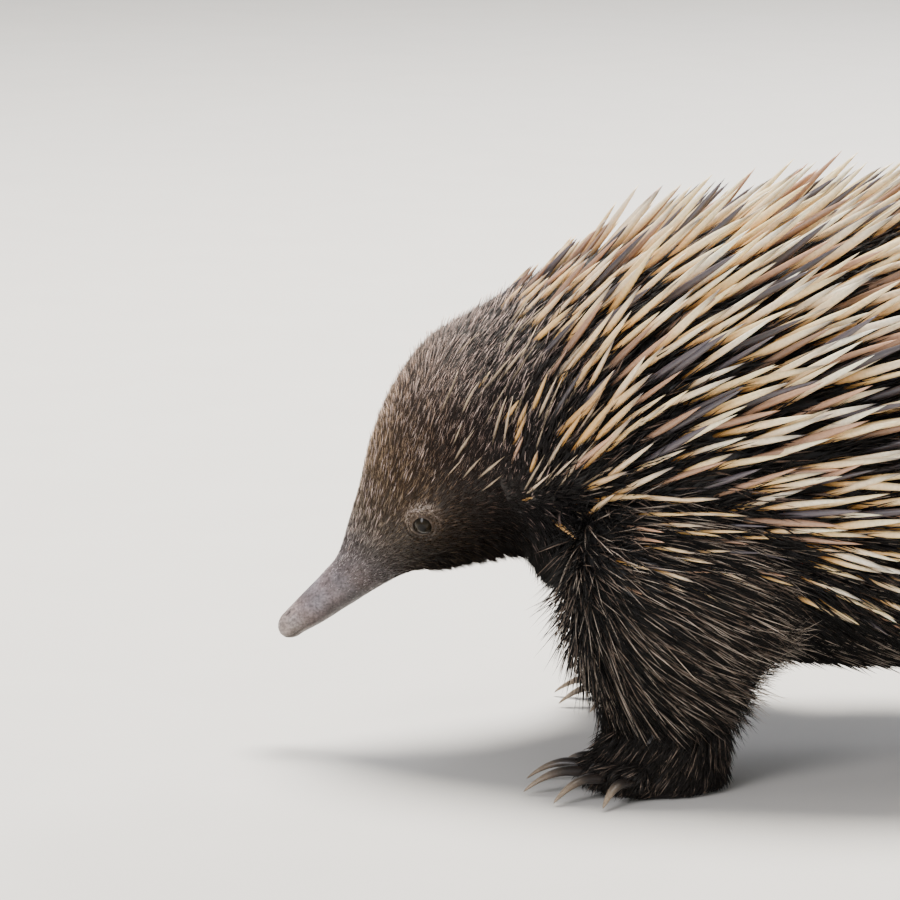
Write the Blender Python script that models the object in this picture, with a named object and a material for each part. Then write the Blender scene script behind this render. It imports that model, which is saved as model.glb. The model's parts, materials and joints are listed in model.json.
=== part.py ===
"""Short-beaked echidna at life size, walking with its beak held low.

The animal faces -X, its left side is -Y, and its soles stand on Z = 0. Sizes in the tables are in
millimetres, with x counted back from the tip of the beak, and mm() turns them into metres about the origin,
which is under the middle of the whole animal.
"""

import math
import random
from collections import namedtuple

import bmesh
import bpy
import numpy as np
from mathutils import Matrix, Vector
from mathutils.bvhtree import BVHTree

# Driving sizes, in millimetres
BEAK_TO_ORIGIN = 215.3
PART_GAP = 0.3
SIDES = {"left": -1.0, "right": 1.0}

# A ring of the body lies in one plane through its top and low points. The level is how far up from the low
# point it is widest. Spine is the length of the spines that grow there, and lift their angle off the back.
Ring = namedtuple("Ring", "top low half_width level spine lift")
BODY_RINGS = (
    Ring((1.4, 49.4), (9.4, 40.6), 5.8, 0.50, 0.0, 0.0),  # 0 lips
    Ring((9.2, 56.4), (17.2, 45.6), 6.3, 0.50, 0.0, 0.0),  # 1 front of the beak
    Ring((16.2, 62.6), (25.0, 51.0), 7.2, 0.50, 0.0, 0.0),  # 2 middle of the beak
    Ring((21.4, 70.4), (36.5, 58.2), 9.6, 0.50, 0.0, 0.0),  # 3 root of the beak
    Ring((25.2, 82.7), (49.0, 64.2), 14.0, 0.50, 0.0, 0.0),  # 4 between beak and eye
    Ring((29.2, 96.7), (61.5, 67.4), 19.5, 0.50, 0.0, 0.0),  # 5 eye
    Ring((34.0, 114.8), (73.5, 70.2), 25.5, 0.48, 0.0, 0.0),  # 6 cheek
    Ring((42.2, 133.6), (84.0, 73.0), 31.5, 0.46, 0.0, 0.0),  # 7 brow
    Ring((55.8, 151.0), (91.5, 73.5), 38.0, 0.45, 4.0, 14.0),  # 8 ear
    Ring((75.0, 161.5), (97.0, 70.0), 45.0, 0.45, 15.0, 19.0),  # 9 nape
    Ring((96.5, 171.5), (104.0, 60.0), 53.0, 0.46, 30.0, 25.0),  # 10 front of the shoulder
    Ring((124.0, 181.0), (126.0, 46.0), 63.0, 0.47, 40.0, 31.0),  # 11 shoulder
    Ring((160.0, 187.5), (160.0, 36.0), 73.0, 0.46, 44.0, 33.0),  # 12 behind the shoulder
    Ring((213.0, 191.5), (213.0, 30.0), 80.0, 0.44, 46.0, 34.0),  # 13 middle of the back
    Ring((268.0, 187.5), (266.0, 30.0), 79.0, 0.43, 47.0, 34.0),  # 14 loin
    Ring((316.0, 173.0), (308.0, 34.0), 72.0, 0.43, 47.0, 36.0),  # 15 hip
    Ring((352.0, 149.0), (341.0, 39.0), 60.0, 0.44, 46.0, 41.0),  # 16 rump
    Ring((376.0, 121.0), (364.0, 43.0), 45.0, 0.45, 44.0, 47.0),  # 17 back of the rump
    Ring((390.0, 96.0), (380.0, 47.0), 29.0, 0.46, 38.0, 49.0),  # 18 root of the tail
    Ring((400.0, 79.0), (392.0, 48.0), 17.0, 0.48, 31.0, 46.0),  # 19 tail
    Ring((408.0, 68.0), (403.0, 49.0), 9.5, 0.50, 24.0, 40.0),  # 20 end of the tail
)
# Slopes are read this far to each side of a place, on the ring count and in degrees
SLOPE_STEP, SLOPE_TURN = 0.05, 0.5
# The domes that close the beak and the tail
BEAK_CAP, TAIL_CAP = 5.2, 6.0
CAP_STEPS = (25.0, 50.0, 72.0)
CAP_POINT = 0.12

# How the spines change from the top of the back (0 degrees) to the belly: shares of the ring's lift and
# length, and how far they turn down the flank
LIFT_SHARES = ((0.0, 1.0), (45.0, 0.86), (90.0, 0.55), (180.0, 0.50))
LENGTH_SHARES = ((0.0, 1.0), (80.0, 0.95), (105.0, 0.78), (125.0, 0.60), (180.0, 0.5))
DROOPS = ((0.0, 0.0), (72.0, 0.0), (105.0, 16.0), (180.0, 16.0))

# Where spines grow on each part: from one place on the ring count to another, out to an edge in degrees from
# the top that changes along the body, with a spacing in millimetres along it and across it
SpineField = namedtuple("SpineField", "start end edges along across")
SPINE_FIELDS = {
    "neck": SpineField(8.85, 9.45, ((8.6, 40.0), (9.2, 62.0), (9.6, 74.0)), 9.0, 11.0),
    "torso": SpineField(9.64, 17.4, ((9.6, 74.0), (10.3, 94.0), (11.0, 104.0), (17.6, 140.0)), 14.6, 17.4),
    "tail": SpineField(17.65, 19.8, ((17.6, 140.0), (20.0, 165.0)), 11.0, 14.0),
}
# A spine's radius grows with its length. Its root is sunk straight in, and it is thickest at mid length.
SPINE_RADIUS, SPINE_GROWTH, SPINE_SINK, SPINE_MIDDLE, SPINE_ROOT = 0.75, 0.037, 4.5, 0.42, 0.75
# The scatter of root places, lengths and angles about each spine's own
SPINE_SCATTER, LENGTH_SCATTER, LIFT_SCATTER, TURN_SCATTER = 0.24, (0.82, 1.08), 4.0, 6.0
# A spine that would cross something is tried again at each of these lifts and lengths
SPINE_TRIES = ((0.0, 1.0), (6.0, 1.0), (-6.0, 0.95), (12.0, 1.0), (18.0, 0.9), (10.0, 0.65))
SEED = 7

# Each part of the body runs from one place on the ring count to another
Section = namedtuple("Section", "name start end rings sides")
SECTIONS = (
    Section("beak", 0.0, 3.5, 7, 16),
    Section("head", 3.5, 8.6, 12, 26),
    Section("neck", 8.6, 9.6, 4, 28),
    Section("torso", 9.6, 17.6, 17, 28),
    Section("tail", 17.6, 20.0, 5, 20),
)

# Face
EYE_PLACE, EYE_RADIUS, EYE_BULGE = (5.62, 97.0), 3.9, 1.1
LID_RADIUS, LID_ROLL = 4.5, 1.1
EAR_PLACE, EAR_SIZE = (8.15, 103.0), (7.5, 1.5, 3.6)
EAR_FOLD = 0.9
NOSTRIL_PLACE, NOSTRIL_SIZE = (0.22, 42.0), (1.3, 0.55, 1.0)
# The slit of the mouth runs along each side of the beak and round its tip, where below 0 is on the dome
MOUTH_ANGLE, MOUTH_GROOVE = 122.0, 0.42
MOUTH_PLACES = (1.35, 1.01, 0.68, 0.34, 0.0, -0.3, -0.6, -0.85)

# A limb is a stack of level ovals: centre x, distance from the mid plane, height, then half length and half
# width. The last one ends inside the body, which trims it.
LimbOval = namedtuple("LimbOval", "x y z half_length half_width")
LIMBS = {
    "foreleg": (
        LimbOval(141.0, 66.0, 24.0, 20.0, 16.0),  # wrist
        LimbOval(141.0, 67.0, 38.0, 29.0, 20.0),  # forearm
        LimbOval(143.0, 65.0, 56.0, 40.0, 24.5),  # elbow
        LimbOval(145.0, 58.0, 79.0, 43.0, 28.0),  # upper arm
        LimbOval(148.0, 45.0, 104.0, 38.0, 27.0),  # shoulder
        LimbOval(150.0, 32.0, 122.0, 28.0, 19.0),
    ),
    "hindleg": (
        LimbOval(338.0, 68.0, 22.0, 17.5, 16.0),  # ankle
        LimbOval(336.0, 69.0, 38.0, 23.5, 20.0),  # shin
        LimbOval(330.0, 66.0, 58.0, 32.0, 25.0),  # knee
        LimbOval(322.0, 57.0, 82.0, 39.0, 28.0),  # thigh
        LimbOval(317.0, 43.0, 108.0, 36.0, 25.0),  # hip
        LimbOval(315.0, 30.0, 126.0, 26.0, 19.0),
    ),
}
# The bristly coat of the legs is made of flat locks in staggered level rows over a thinner core. A row has a
# height, and its locks a length and a width.
LockRow = namedtuple("LockRow", "z length width")
LOCK_ROWS = {
    "foreleg": (LockRow(39.0, 20.0, 14.0), LockRow(58.0, 31.0, 18.5), LockRow(79.0, 35.0, 21.0)),
    "hindleg": (LockRow(37.0, 19.0, 13.0), LockRow(54.0, 29.0, 17.5), LockRow(74.0, 33.0, 20.0)),
}
# The coat's depth over the core, a lock's thickness, how deep its root is sunk, the spacing of locks in their
# own widths, and the scatter of their heights
LOCK_DEPTH, LOCK_THICKNESS, LOCK_SINK, LOCK_SPACING, LOCK_SCATTER = 3.5, 1.8, 3.5, 1.18, 2.5
# How close together a spine and a lock are tested for what they cross, and on which lines along a lock
SPINE_SAMPLES, LOCK_SAMPLES, LOCK_LINES = 2.0, 2.5, (-0.5, -0.33, -0.17, 0.0, 0.17, 0.33, 0.5)
# Locks lie back and down over the leg. A lock's root is a share of its width. Each step along it is its place
# and its height off the skin, as shares of its length, and its width there.
LOCK_LIE = (0.80, 0.0, -0.60)
LOCK_ROOT, LOCK_STEPS = 0.7, ((0.30, 0.10, 1.0), (0.68, 0.15, 0.58), (1.0, 0.17, 0.0))
# A lock that would cross something is tried again at each of these rises and lengths
LOCK_TRIES = ((1.0, 1.0), (1.5, 1.0), (2.0, 0.9), (2.6, 0.8), (2.2, 0.6), (1.6, 0.45))

# How far each leg is behind the place in the table: the animal is in mid step
STEP = {"foreleg_left": 0.0, "foreleg_right": 14.0, "hindleg_left": 4.0, "hindleg_right": -14.0}
LIMB_SIDES, LIMB_RINGS = 18, 8

# A foot: where it points, measured outward from straight ahead, how far the sole's middle lies from the
# ankle that way, its half sizes, and each claw's length and width from the inner toe to the outer
Foot = namedtuple("Foot", "turn reach half_length half_width spread claws")
FEET = {
    "foreleg": Foot(14.0, 5.0, 25.0, 20.0, 21.0, ((14, 5.6), (19, 6.4), (21, 6.8), (19, 6.4), (14, 5.6))),
    "hindleg": Foot(122.0, 9.0, 27.0, 17.0, 19.0, ((9, 5.0), (32, 5.4), (24, 5.2), (13, 5.0), (9, 4.8))),
}
# The foot's levels, as shares of the ankle's height, each with the foot's size there
FOOT_LEVELS = ((0.0, 0.90), (0.18, 1.0), (0.45, 0.97), (0.75, 0.98), (1.0, 1.0))
FOOT_BLEND = 1.6
# A toe is a bar fused into the foot, past whose edge it reaches. Its sizes are shares of its radius.
TOE_RADIUS, TOE_REACH, TOE_HEIGHT, TOE_LENGTH = 5.0, 3.0, 7.5, 18.0
TOE_SIZES = ((-1.0, 1.1), (-0.5, 1.1), (0.0, 0.85))
# Claws arch by a share of their length and come down to just above the floor
CLAW_STEPS, CLAW_ARCH, CLAW_CLEARANCE, CLAW_POINT = (0.0, 0.35, 0.7, 1.0), 0.06, 0.8, 0.25
CLAW_TAPER, CLAW_THICKNESS = 0.7, 0.62
FOOT_SIDES, TOE_SIDES, CLAW_SIDES = 18, 5, 6

# Colour, roughness and metallic value
SKIN = ("bare skin", (0.060, 0.045, 0.040), 0.6, 0.0)
FUR = ("dark fur", (0.030, 0.020, 0.014), 0.8, 0.0)
SPINY = ("spiny coat", (0.52, 0.38, 0.19), 0.5, 0.0)
HORN = ("claw horn", (0.10, 0.075, 0.055), 0.4, 0.0)
EYE = ("eye", (0.008, 0.007, 0.006), 0.1, 0.0)


def mm(x, y, z):
    """A point of the tables as a point of the model."""
    return Vector((x - BEAK_TO_ORIGIN, y, z)) * 0.001


def clear_scene():
    for obj in list(bpy.data.objects):
        bpy.data.objects.remove(obj)


def collection(name):
    made = bpy.data.collections.new(name)
    bpy.context.scene.collection.children.link(made)
    return made


def material(name, colour, roughness, metallic):
    found = bpy.data.materials.get(name)
    if found:
        return found
    made = bpy.data.materials.new(name)
    made.use_nodes = True
    shader = made.node_tree.nodes["Principled BSDF"]
    shader.inputs["Base Color"].default_value = (*colour, 1.0)
    shader.inputs["Roughness"].default_value = roughness
    shader.inputs["Metallic"].default_value = metallic
    return made


def add_object(name, bm, group, finish=None):
    """A bmesh as an object of its own, shaded smooth, with its faces pointing out."""
    bmesh.ops.recalc_face_normals(bm, faces=bm.faces)
    mesh = bpy.data.meshes.new(name)
    bm.to_mesh(mesh)
    bm.free()
    mesh.shade_smooth()
    mesh.set_sharp_from_angle(angle=math.radians(50))
    obj = bpy.data.objects.new(name, mesh)
    group.objects.link(obj)
    if finish:
        mesh.materials.append(material(*finish))
    return obj


def loft(rings, tip=None):
    """A closed bmesh through rings of points, all with the same count. The ends are flat, or run to a tip."""
    bm = bmesh.new()
    rows = [[bm.verts.new(point) for point in ring] for ring in rings]
    for near, far in zip(rows, rows[1:]):
        for i in range(len(near)):
            j = (i + 1) % len(near)
            bm.faces.new((near[i], near[j], far[j], far[i]))
    bm.faces.new(rows[0])
    if tip is None:
        bm.faces.new(rows[-1])
        return bm
    point = bm.verts.new(tip)
    for i, vert in enumerate(rows[-1]):
        bm.faces.new((vert, rows[-1][(i + 1) % len(rows[-1])], point))
    return bm


def smooth_value(values, t):
    """The value at t on a Catmull-Rom curve through evenly counted values."""
    last = len(values) - 1
    i = min(max(int(t), 0), last - 1)
    u = t - i
    before, here, after, beyond = (values[min(max(i + k, 0), last)] for k in (-1, 0, 1, 2))
    return 0.5 * (
        2 * here
        + (after - before) * u
        + (2 * before - 5 * here + 4 * after - beyond) * u**2
        + (3 * here - before - 3 * after + beyond) * u**3
    )


RING_VALUES = [(*r.top, *r.low, r.half_width, r.level, r.spine, r.lift) for r in BODY_RINGS]


def ring_at(t):
    """The body's ring at t on the ring count."""
    values = [smooth_value([row[k] for row in RING_VALUES], t) for k in range(8)]
    return Ring((values[0], values[1]), (values[2], values[3]), *values[4:])


def body_point(t, degrees, out=0.0):
    """A point of the body's surface. Degrees run from 0 at the top down the left side. Out grows the ring."""
    ring = ring_at(t)
    top, low = Vector((ring.top[0], 0, ring.top[1])), Vector((ring.low[0], 0, ring.low[1]))
    up = (top - low).normalized()
    height = (top - low).length
    centre = low + up * height * ring.level
    angle = math.radians(degrees)
    rise = height * (1 - ring.level if math.cos(angle) > 0 else ring.level) + out
    point = centre + up * rise * math.cos(angle)
    point.y = -math.sin(angle) * (ring.half_width + out)
    return mm(*point)


def between(pairs, place):
    """The value at a place among pairs of place and value, in straight runs."""
    for (before, low), (after, high) in zip(pairs, pairs[1:]):
        if place <= after:
            return low + (high - low) * (place - before) / (after - before)
    return pairs[-1][1]


def from_top(degrees):
    """Degrees round a ring as the angle from its top, on either side."""
    return abs((degrees + 180.0) % 360.0 - 180.0)


def ring_normal(t):
    """Unit vector across the ring's plane, towards the tail."""
    ring = ring_at(t)
    up = Vector((ring.top[0] - ring.low[0], 0, ring.top[1] - ring.low[1])).normalized()
    return Vector((up.z, 0, -up.x))


def body_slope(t, degrees):
    """How the surface runs towards the tail: the way that one step of the ring count goes."""
    return (body_point(t + SLOPE_STEP, degrees) - body_point(t - SLOPE_STEP, degrees)) / (2 * SLOPE_STEP)


def body_normal(t, degrees):
    """The outward normal of the body's surface."""
    around = body_point(t, degrees + SLOPE_TURN) - body_point(t, degrees - SLOPE_TURN)
    return around.cross(body_slope(t, degrees)).normalized()


def body_ring(t, sides, shift=0.0, out=0.0):
    """The points of one ring, moved by shift across its own plane."""
    move = ring_normal(t) * shift * 0.001
    return [body_point(t, 360.0 * i / sides, out) + move for i in range(sides)]


def cap_rings(ring, direction, length):
    """Rings that close an end as a dome: the end ring shrunk and moved on, step by step."""
    centre = sum(ring, Vector()) / len(ring)
    made = []
    for degrees in CAP_STEPS:
        angle = math.radians(degrees)
        move = direction * length * math.sin(angle) * 0.001
        made.append([centre + (p - centre) * math.cos(angle) + move for p in ring])
    made.append([centre + (p - centre) * CAP_POINT + direction * length * 0.001 for p in ring])
    return made


def places_of(section):
    """Where the rings of one part of the body lie on the ring count."""
    step = (section.end - section.start) / (section.rings - 1)
    return [section.start + step * i for i in range(section.rings)]


def body_section(section):
    """The rings of one part of the body, held half a gap back from its neighbours."""
    start, end = section.start, section.end
    rings = [body_ring(t, section.sides) for t in places_of(section)]
    half = PART_GAP / 2
    if start > 0:
        rings[0] = body_ring(start, section.sides, half)
    else:
        rings = cap_rings(rings[0], -ring_normal(0.0), BEAK_CAP)[::-1] + rings
    if end < len(BODY_RINGS) - 1:
        rings[-1] = body_ring(end, section.sides, -half)
    else:
        rings += cap_rings(rings[-1], ring_normal(end), TAIL_CAP)
    return rings


def boolean(obj, group, operation):
    """Joins or cuts the object with every object of a collection, applies it and removes the collection."""
    modifier = obj.modifiers.new(operation.lower(), "BOOLEAN")
    modifier.operation = operation
    modifier.operand_type = "COLLECTION"
    modifier.collection = group
    modifier.solver = "EXACT"
    graph = bpy.context.evaluated_depsgraph_get()
    mesh = bpy.data.meshes.new_from_object(obj.evaluated_get(graph))
    obj.modifiers.clear()
    obj.data = mesh
    for piece in list(group.objects):
        bpy.data.objects.remove(piece)
    bpy.data.collections.remove(group)
    keep_largest_surface(obj)


def keep_largest_surface(obj):
    """Drops any scrap or sealed hollow that a join or a cut leaves, also one that hangs on by an edge."""
    bm = bmesh.new()
    bm.from_mesh(obj.data)
    bmesh.ops.triangulate(bm, faces=bm.faces)
    left, shells = set(bm.faces), []
    while left:
        shell, front = set(), [left.pop()]
        while front:
            face = front.pop()
            shell.add(face)
            for edge in face.edges:
                for other in edge.link_faces:
                    if len(edge.link_faces) == 2 and other in left:
                        left.remove(other)
                        front.append(other)
        shells.append(shell)
    largest = max(shells, key=lambda shell: sum(face.calc_area() for face in shell))
    bmesh.ops.delete(bm, geom=[f for f in bm.faces if f not in largest], context="FACES")
    bm.to_mesh(obj.data)
    bm.free()


def turned_to(direction, sideways):
    """A rotation whose Z is the direction and whose X lies as near sideways as it can."""
    z = direction.normalized()
    y = z.cross(sideways).normalized()
    return Matrix((y.cross(z), y, z)).transposed().to_4x4()


def ball(name, centre, frame, half_sizes, group, detail=(12, 7), finish=None):
    """An ellipsoid with its half sizes in millimetres along the frame's axes."""
    bm = bmesh.new()
    bmesh.ops.create_uvsphere(bm, u_segments=detail[0], v_segments=detail[1], radius=0.001)
    bmesh.ops.scale(bm, vec=half_sizes, verts=bm.verts)
    bmesh.ops.transform(bm, matrix=Matrix.Translation(centre) @ frame, verts=bm.verts)
    return add_object(name, bm, group, finish)


def rolled_ring(name, centre, frame, radii, roll, group, sides=(12, 4)):
    """An oval ring of round section, such as an eyelid. Radii are along the frame's X and Y."""
    rings = []
    for i in range(sides[0]):
        a = math.tau * i / sides[0]
        middle = Vector((radii[0] * math.cos(a), radii[1] * math.sin(a), 0))
        outward = middle.normalized()
        rings.append([])
        for j in range(sides[1]):
            b = math.tau * j / sides[1]
            rings[-1].append(middle + roll * (outward * math.cos(b) + Vector((0, 0, math.sin(b)))))
    bm = bmesh.new()
    rows = [[bm.verts.new(p * 0.001) for p in ring] for ring in rings]
    for i, row in enumerate(rows):
        onward = rows[(i + 1) % len(rows)]
        for j in range(sides[1]):
            k = (j + 1) % sides[1]
            bm.faces.new((row[j], row[k], onward[k], onward[j]))
    bmesh.ops.transform(bm, matrix=Matrix.Translation(centre) @ frame, verts=bm.verts)
    return add_object(name, bm, group)


def surface_frame(place, side):
    """A point of the head's surface on one side, with a frame whose Z points out and X up the head."""
    degrees = place[1] if side == "left" else 360 - place[1]
    centre, out = body_point(place[0], degrees), body_normal(place[0], degrees)
    ring = ring_at(place[0])
    up = Vector((ring.top[0] - ring.low[0], 0, ring.top[1] - ring.low[1]))
    return centre, out, turned_to(out, up)


def add_face(head, model):
    """Lids and ear folds raised on the head, then the eye sockets and ear slits cut, then the eyes."""
    raised, cut = collection("face folds"), collection("face cuts")
    for side in SIDES:
        centre, out, frame = surface_frame(EYE_PLACE, side)
        rolled_ring("lid", centre, frame, (LID_RADIUS, LID_RADIUS), LID_ROLL, raised)
        middle = centre - out * (EYE_RADIUS - EYE_BULGE) * 0.001
        socket = EYE_RADIUS + PART_GAP
        ball("socket", middle, frame, (socket,) * 3, cut, (12, 6))
        ball(f"eye_{side}", middle, frame, (EYE_RADIUS,) * 3, model, (12, 7), EYE)
        centre, out, frame = surface_frame(EAR_PLACE, side)
        length, width, depth = EAR_SIZE
        rolled_ring("ear fold", centre, frame, (length + EAR_FOLD, width + EAR_FOLD), EAR_FOLD, raised)
        ball("ear slit", centre, frame, (length, width, depth), cut, (8, 5))
    boolean(head, raised, "UNION")
    boolean(head, cut, "DIFFERENCE")


def beak_tip_point(back, degrees):
    """A point of the beak's surface, where back below 0 runs on round the domed tip to -1."""
    if back >= 0:
        return body_point(back, degrees)
    angle = math.radians(-back * 90)
    end = body_point(0.0, degrees)
    centre = (body_point(0.0, 0) + body_point(0.0, 180)) / 2
    return centre + (end - centre) * math.cos(angle) - ring_normal(0.0) * BEAK_CAP * math.sin(angle) * 0.001


def groove_cutter(name, points, radius, group):
    """A thin round bar through the points, as a mesh that can cut."""
    curve = bpy.data.curves.new(name, "CURVE")
    curve.dimensions = "3D"
    curve.bevel_depth = radius * 0.001
    curve.bevel_resolution = 0
    curve.use_fill_caps = True
    line = curve.splines.new("POLY")
    line.points.add(len(points) - 1)
    for point, place in zip(line.points, points):
        point.co = (*place, 1.0)
    bar = bpy.data.objects.new(name, curve)
    group.objects.link(bar)
    mesh = bpy.data.meshes.new_from_object(bar.evaluated_get(bpy.context.evaluated_depsgraph_get()))
    bpy.data.objects.remove(bar)
    bm = bmesh.new()
    bm.from_mesh(mesh)
    bmesh.ops.remove_doubles(bm, verts=bm.verts, dist=1e-6)
    return add_object(name, bm, group)


def add_mouth_and_nostrils(beak):
    """The small mouth is a slit round the tip of the beak, and the nostrils open on top of it."""
    cut = collection("beak cuts")
    left = [beak_tip_point(back, MOUTH_ANGLE) for back in MOUTH_PLACES]
    right = [beak_tip_point(back, 360 - MOUTH_ANGLE) for back in reversed(MOUTH_PLACES)]
    groove_cutter("mouth slit", left + right, MOUTH_GROOVE, cut)
    for side in SIDES:
        centre, _, frame = surface_frame(NOSTRIL_PLACE, side)
        ball("nostril", centre, frame, NOSTRIL_SIZE, cut, (8, 5))
    boolean(beak, cut, "DIFFERENCE")


def limb_oval(ovals, t):
    """The limb's oval at t on the count of its ovals."""
    return LimbOval(*(smooth_value([o[k] for o in ovals], t) for k in range(5)))


def limb_point(ovals, t, angle, name):
    """A point of a limb's core, which is the limb's size at its lower end and thinner above by the locks."""
    oval = limb_oval(ovals, t)
    inset = LOCK_DEPTH * min(t, 1.0)
    x = oval.x + STEP[name] + (oval.half_length - inset) * math.cos(angle)
    return mm(x, SIDES[name.split("_")[1]] * oval.y + (oval.half_width - inset) * math.sin(angle), oval.z)


def limb_ring(ovals, t, name):
    """The points of one level ring of a limb."""
    return [limb_point(ovals, t, math.tau * i / LIMB_SIDES, name) for i in range(LIMB_SIDES)]


def add_limb(kind, side, model):
    """One leg, trimmed to the body with a gap between the faces."""
    name = f"{kind}_{side}"
    ovals = LIMBS[kind]
    places = [(len(ovals) - 1) * i / (LIMB_RINGS - 1) for i in range(LIMB_RINGS)]
    rings = [limb_ring(ovals, t, name) for t in places]
    rings[0] = [p + Vector((0, 0, PART_GAP * 0.001)) for p in rings[0]]
    leg = add_object(name, loft(rings), model, FUR)
    body = collection("body trim")
    neck, torso = SECTIONS[2], SECTIONS[3]
    places = places_of(neck)[:-1] + places_of(torso)
    trim = [body_ring(t, torso.sides, out=PART_GAP) for t in places]
    add_object("trim", loft(trim), body)
    boolean(leg, body, "DIFFERENCE")


def claw_rings(root, along, length, width):
    """Rings of a curved, flattened claw that leaves its root level and bends down to just above the floor."""
    across = Vector((-along.y, along.x, 0))
    arch = CLAW_ARCH * length * 0.001
    drop = root.z - (CLAW_CLEARANCE + CLAW_POINT) * 0.001
    rings = []
    for share in CLAW_STEPS:
        size = width / 2 * (1 - share) ** CLAW_TAPER + CLAW_POINT
        middle = root + along * length * share * 0.001
        middle.z += arch * 4 * share * (1 - share) - drop * share**2
        slope = arch * 4 * (1 - 2 * share) - 2 * drop * share if share > 0 else 0.0
        forward = (along * length * 0.001 + Vector((0, 0, slope))).normalized()
        up = forward.cross(across)
        up *= math.copysign(1.0, up.z)
        rings.append([])
        for i in range(CLAW_SIDES):
            a = math.tau * i / CLAW_SIDES
            offset = across * math.cos(a) + up * math.sin(a) * CLAW_THICKNESS
            rings[-1].append(middle + offset * size * 0.001)
    return rings


def foot_frame(kind, side):
    """The ankle's place on the floor and the way the foot points."""
    foot, ankle = FEET[kind], LIMBS[kind][0]
    turn = math.radians(foot.turn)
    along = Vector((-math.cos(turn), SIDES[side] * math.sin(turn), 0))
    return mm(ankle.x + STEP[f"{kind}_{side}"], SIDES[side] * ankle.y, 0), along


def foot_rings(kind, side):
    """Level rings of the foot, from the flat sole up to the ankle."""
    foot, ankle = FEET[kind], LIMBS[kind][0]
    place, along = foot_frame(kind, side)
    across = Vector((-along.y, along.x, 0))
    rings = []
    for share, swell in FOOT_LEVELS:
        blend = share**FOOT_BLEND
        centre = place + along * foot.reach * (1 - blend) * 0.001
        rings.append([])
        for i in range(FOOT_SIDES):
            a = math.tau * i / FOOT_SIDES
            pad = along * foot.half_length * math.cos(a) + across * foot.half_width * math.sin(a)
            turn = math.atan2(pad.y, pad.x)
            joint = Vector((ankle.half_length * math.cos(turn), ankle.half_width * math.sin(turn), 0))
            offset = (pad * (1 - blend) + joint * blend) * swell
            rings[-1].append(centre + offset * 0.001 + Vector((0, 0, ankle.z * share * 0.001)))
    return rings


def toe_rings(end, along):
    """Rings of one toe, whose front end is given."""
    across = Vector((-along.y, along.x, 0))
    rings = []
    for share, size in TOE_SIZES:
        rings.append([])
        for k in range(TOE_SIDES):
            a = math.tau * k / TOE_SIDES
            around = across * math.cos(a) + Vector((0, 0, math.sin(a)))
            rings[-1].append(end + (along * TOE_LENGTH * share + around * TOE_RADIUS * size) * 0.001)
    return rings


def add_foot(kind, side, model):
    """A foot with five toes fused on, and a claw set against each toe."""
    foot = FEET[kind]
    pad = add_object(kind.replace("leg", "foot") + f"_{side}", loft(foot_rings(kind, side)), model, SKIN)
    place, ahead = foot_frame(kind, side)
    toes = collection("toes")
    for i, (length, width) in enumerate(foot.claws):
        turn = math.radians(foot.spread * (i - 2)) * -SIDES[side]
        along = Matrix.Rotation(turn, 3, "Z") @ ahead
        oval = math.hypot(foot.half_length * math.cos(turn), foot.half_width * math.sin(turn))
        reach = foot.reach + oval + TOE_REACH
        end = place + (along * reach + Vector((0, 0, TOE_HEIGHT))) * 0.001
        add_object("toe", loft(toe_rings(end, along)), toes)
        claw = claw_rings(end + along * PART_GAP * 0.001, along, length, width)
        add_object(f"claw_{kind[:4]}_{side}_{i + 1}", loft(claw), model, HORN)
    boolean(pad, toes, "UNION")


class Coat:
    """The spines and locks set so far, so that none crosses another or any other part."""

    def __init__(self, model):
        graph = bpy.context.evaluated_depsgraph_get()
        self.trees = {obj.name: BVHTree.FromObject(obj, graph) for obj in model.objects}
        self.taken = np.zeros((0, 4))
        self.random = random.Random(SEED)

    def is_clear(self, node, samples):
        """True where balls along a piece, each a point and a radius in millimetres, keep the gap."""
        for point, radius in samples:
            reach = (radius + PART_GAP) * 0.001
            if point.z < reach:
                return False
            for name, tree in self.trees.items():
                if name != node and tree.find_nearest(point, reach)[0] is not None:
                    return False
        # A face seen from behind, straight above the tip, has the whole piece inside it
        for name, tree in self.trees.items():
            place, normal, _, _ = tree.ray_cast(samples[-1][0], Vector((0, 0, 1)))
            if name != node and place is not None and normal.z > 0:
                return False
        balls = np.array([(*point, radius * 0.001) for point, radius in samples])
        gaps = np.linalg.norm(balls[:, None, :3] - self.taken[None, :, :3], axis=2)
        return bool((gaps > balls[:, None, 3] + self.taken[None, :, 3] + PART_GAP * 0.001).all())

    def take(self, samples):
        balls = np.array([(*point, radius * 0.001) for point, radius in samples])
        self.taken = np.vstack((self.taken, balls))


def samples_along(points, radii, spacing):
    """Balls along a line of points, each a place and a radius in millimetres."""
    samples = []
    for (near, far), (low, high) in zip(zip(points, points[1:]), zip(radii, radii[1:])):
        count = max(2, int((far - near).length * 1000 / spacing))
        samples += [(near.lerp(far, i / count), low + (high - low) * i / count) for i in range(count)]
    return samples + [(points[-1], radii[-1])]


def spine_roots(field, chance):
    """Staggered places for spines, as the ring count and degrees from the top."""
    t, row = field.start, 0
    while t <= field.end:
        ring = ring_at(t)
        height = math.dist(ring.top, ring.low)
        per_degree = math.pi / 180 * (ring.half_width + height / 2) / 2
        edge = between(field.edges, t)
        span = field.across / per_degree
        across = int(edge / span) + 1
        step = field.along * 0.001 / body_slope(t, 45).length
        for i in range(-across, across + 1):
            degrees = (i + 0.5 * (row % 2) + chance.uniform(-SPINE_SCATTER, SPINE_SCATTER)) * span
            place = t + chance.uniform(-SPINE_SCATTER, SPINE_SCATTER) * step
            if abs(degrees) <= edge:
                yield min(max(place, field.start), field.end), degrees
        t += step
        row += 1


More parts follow.
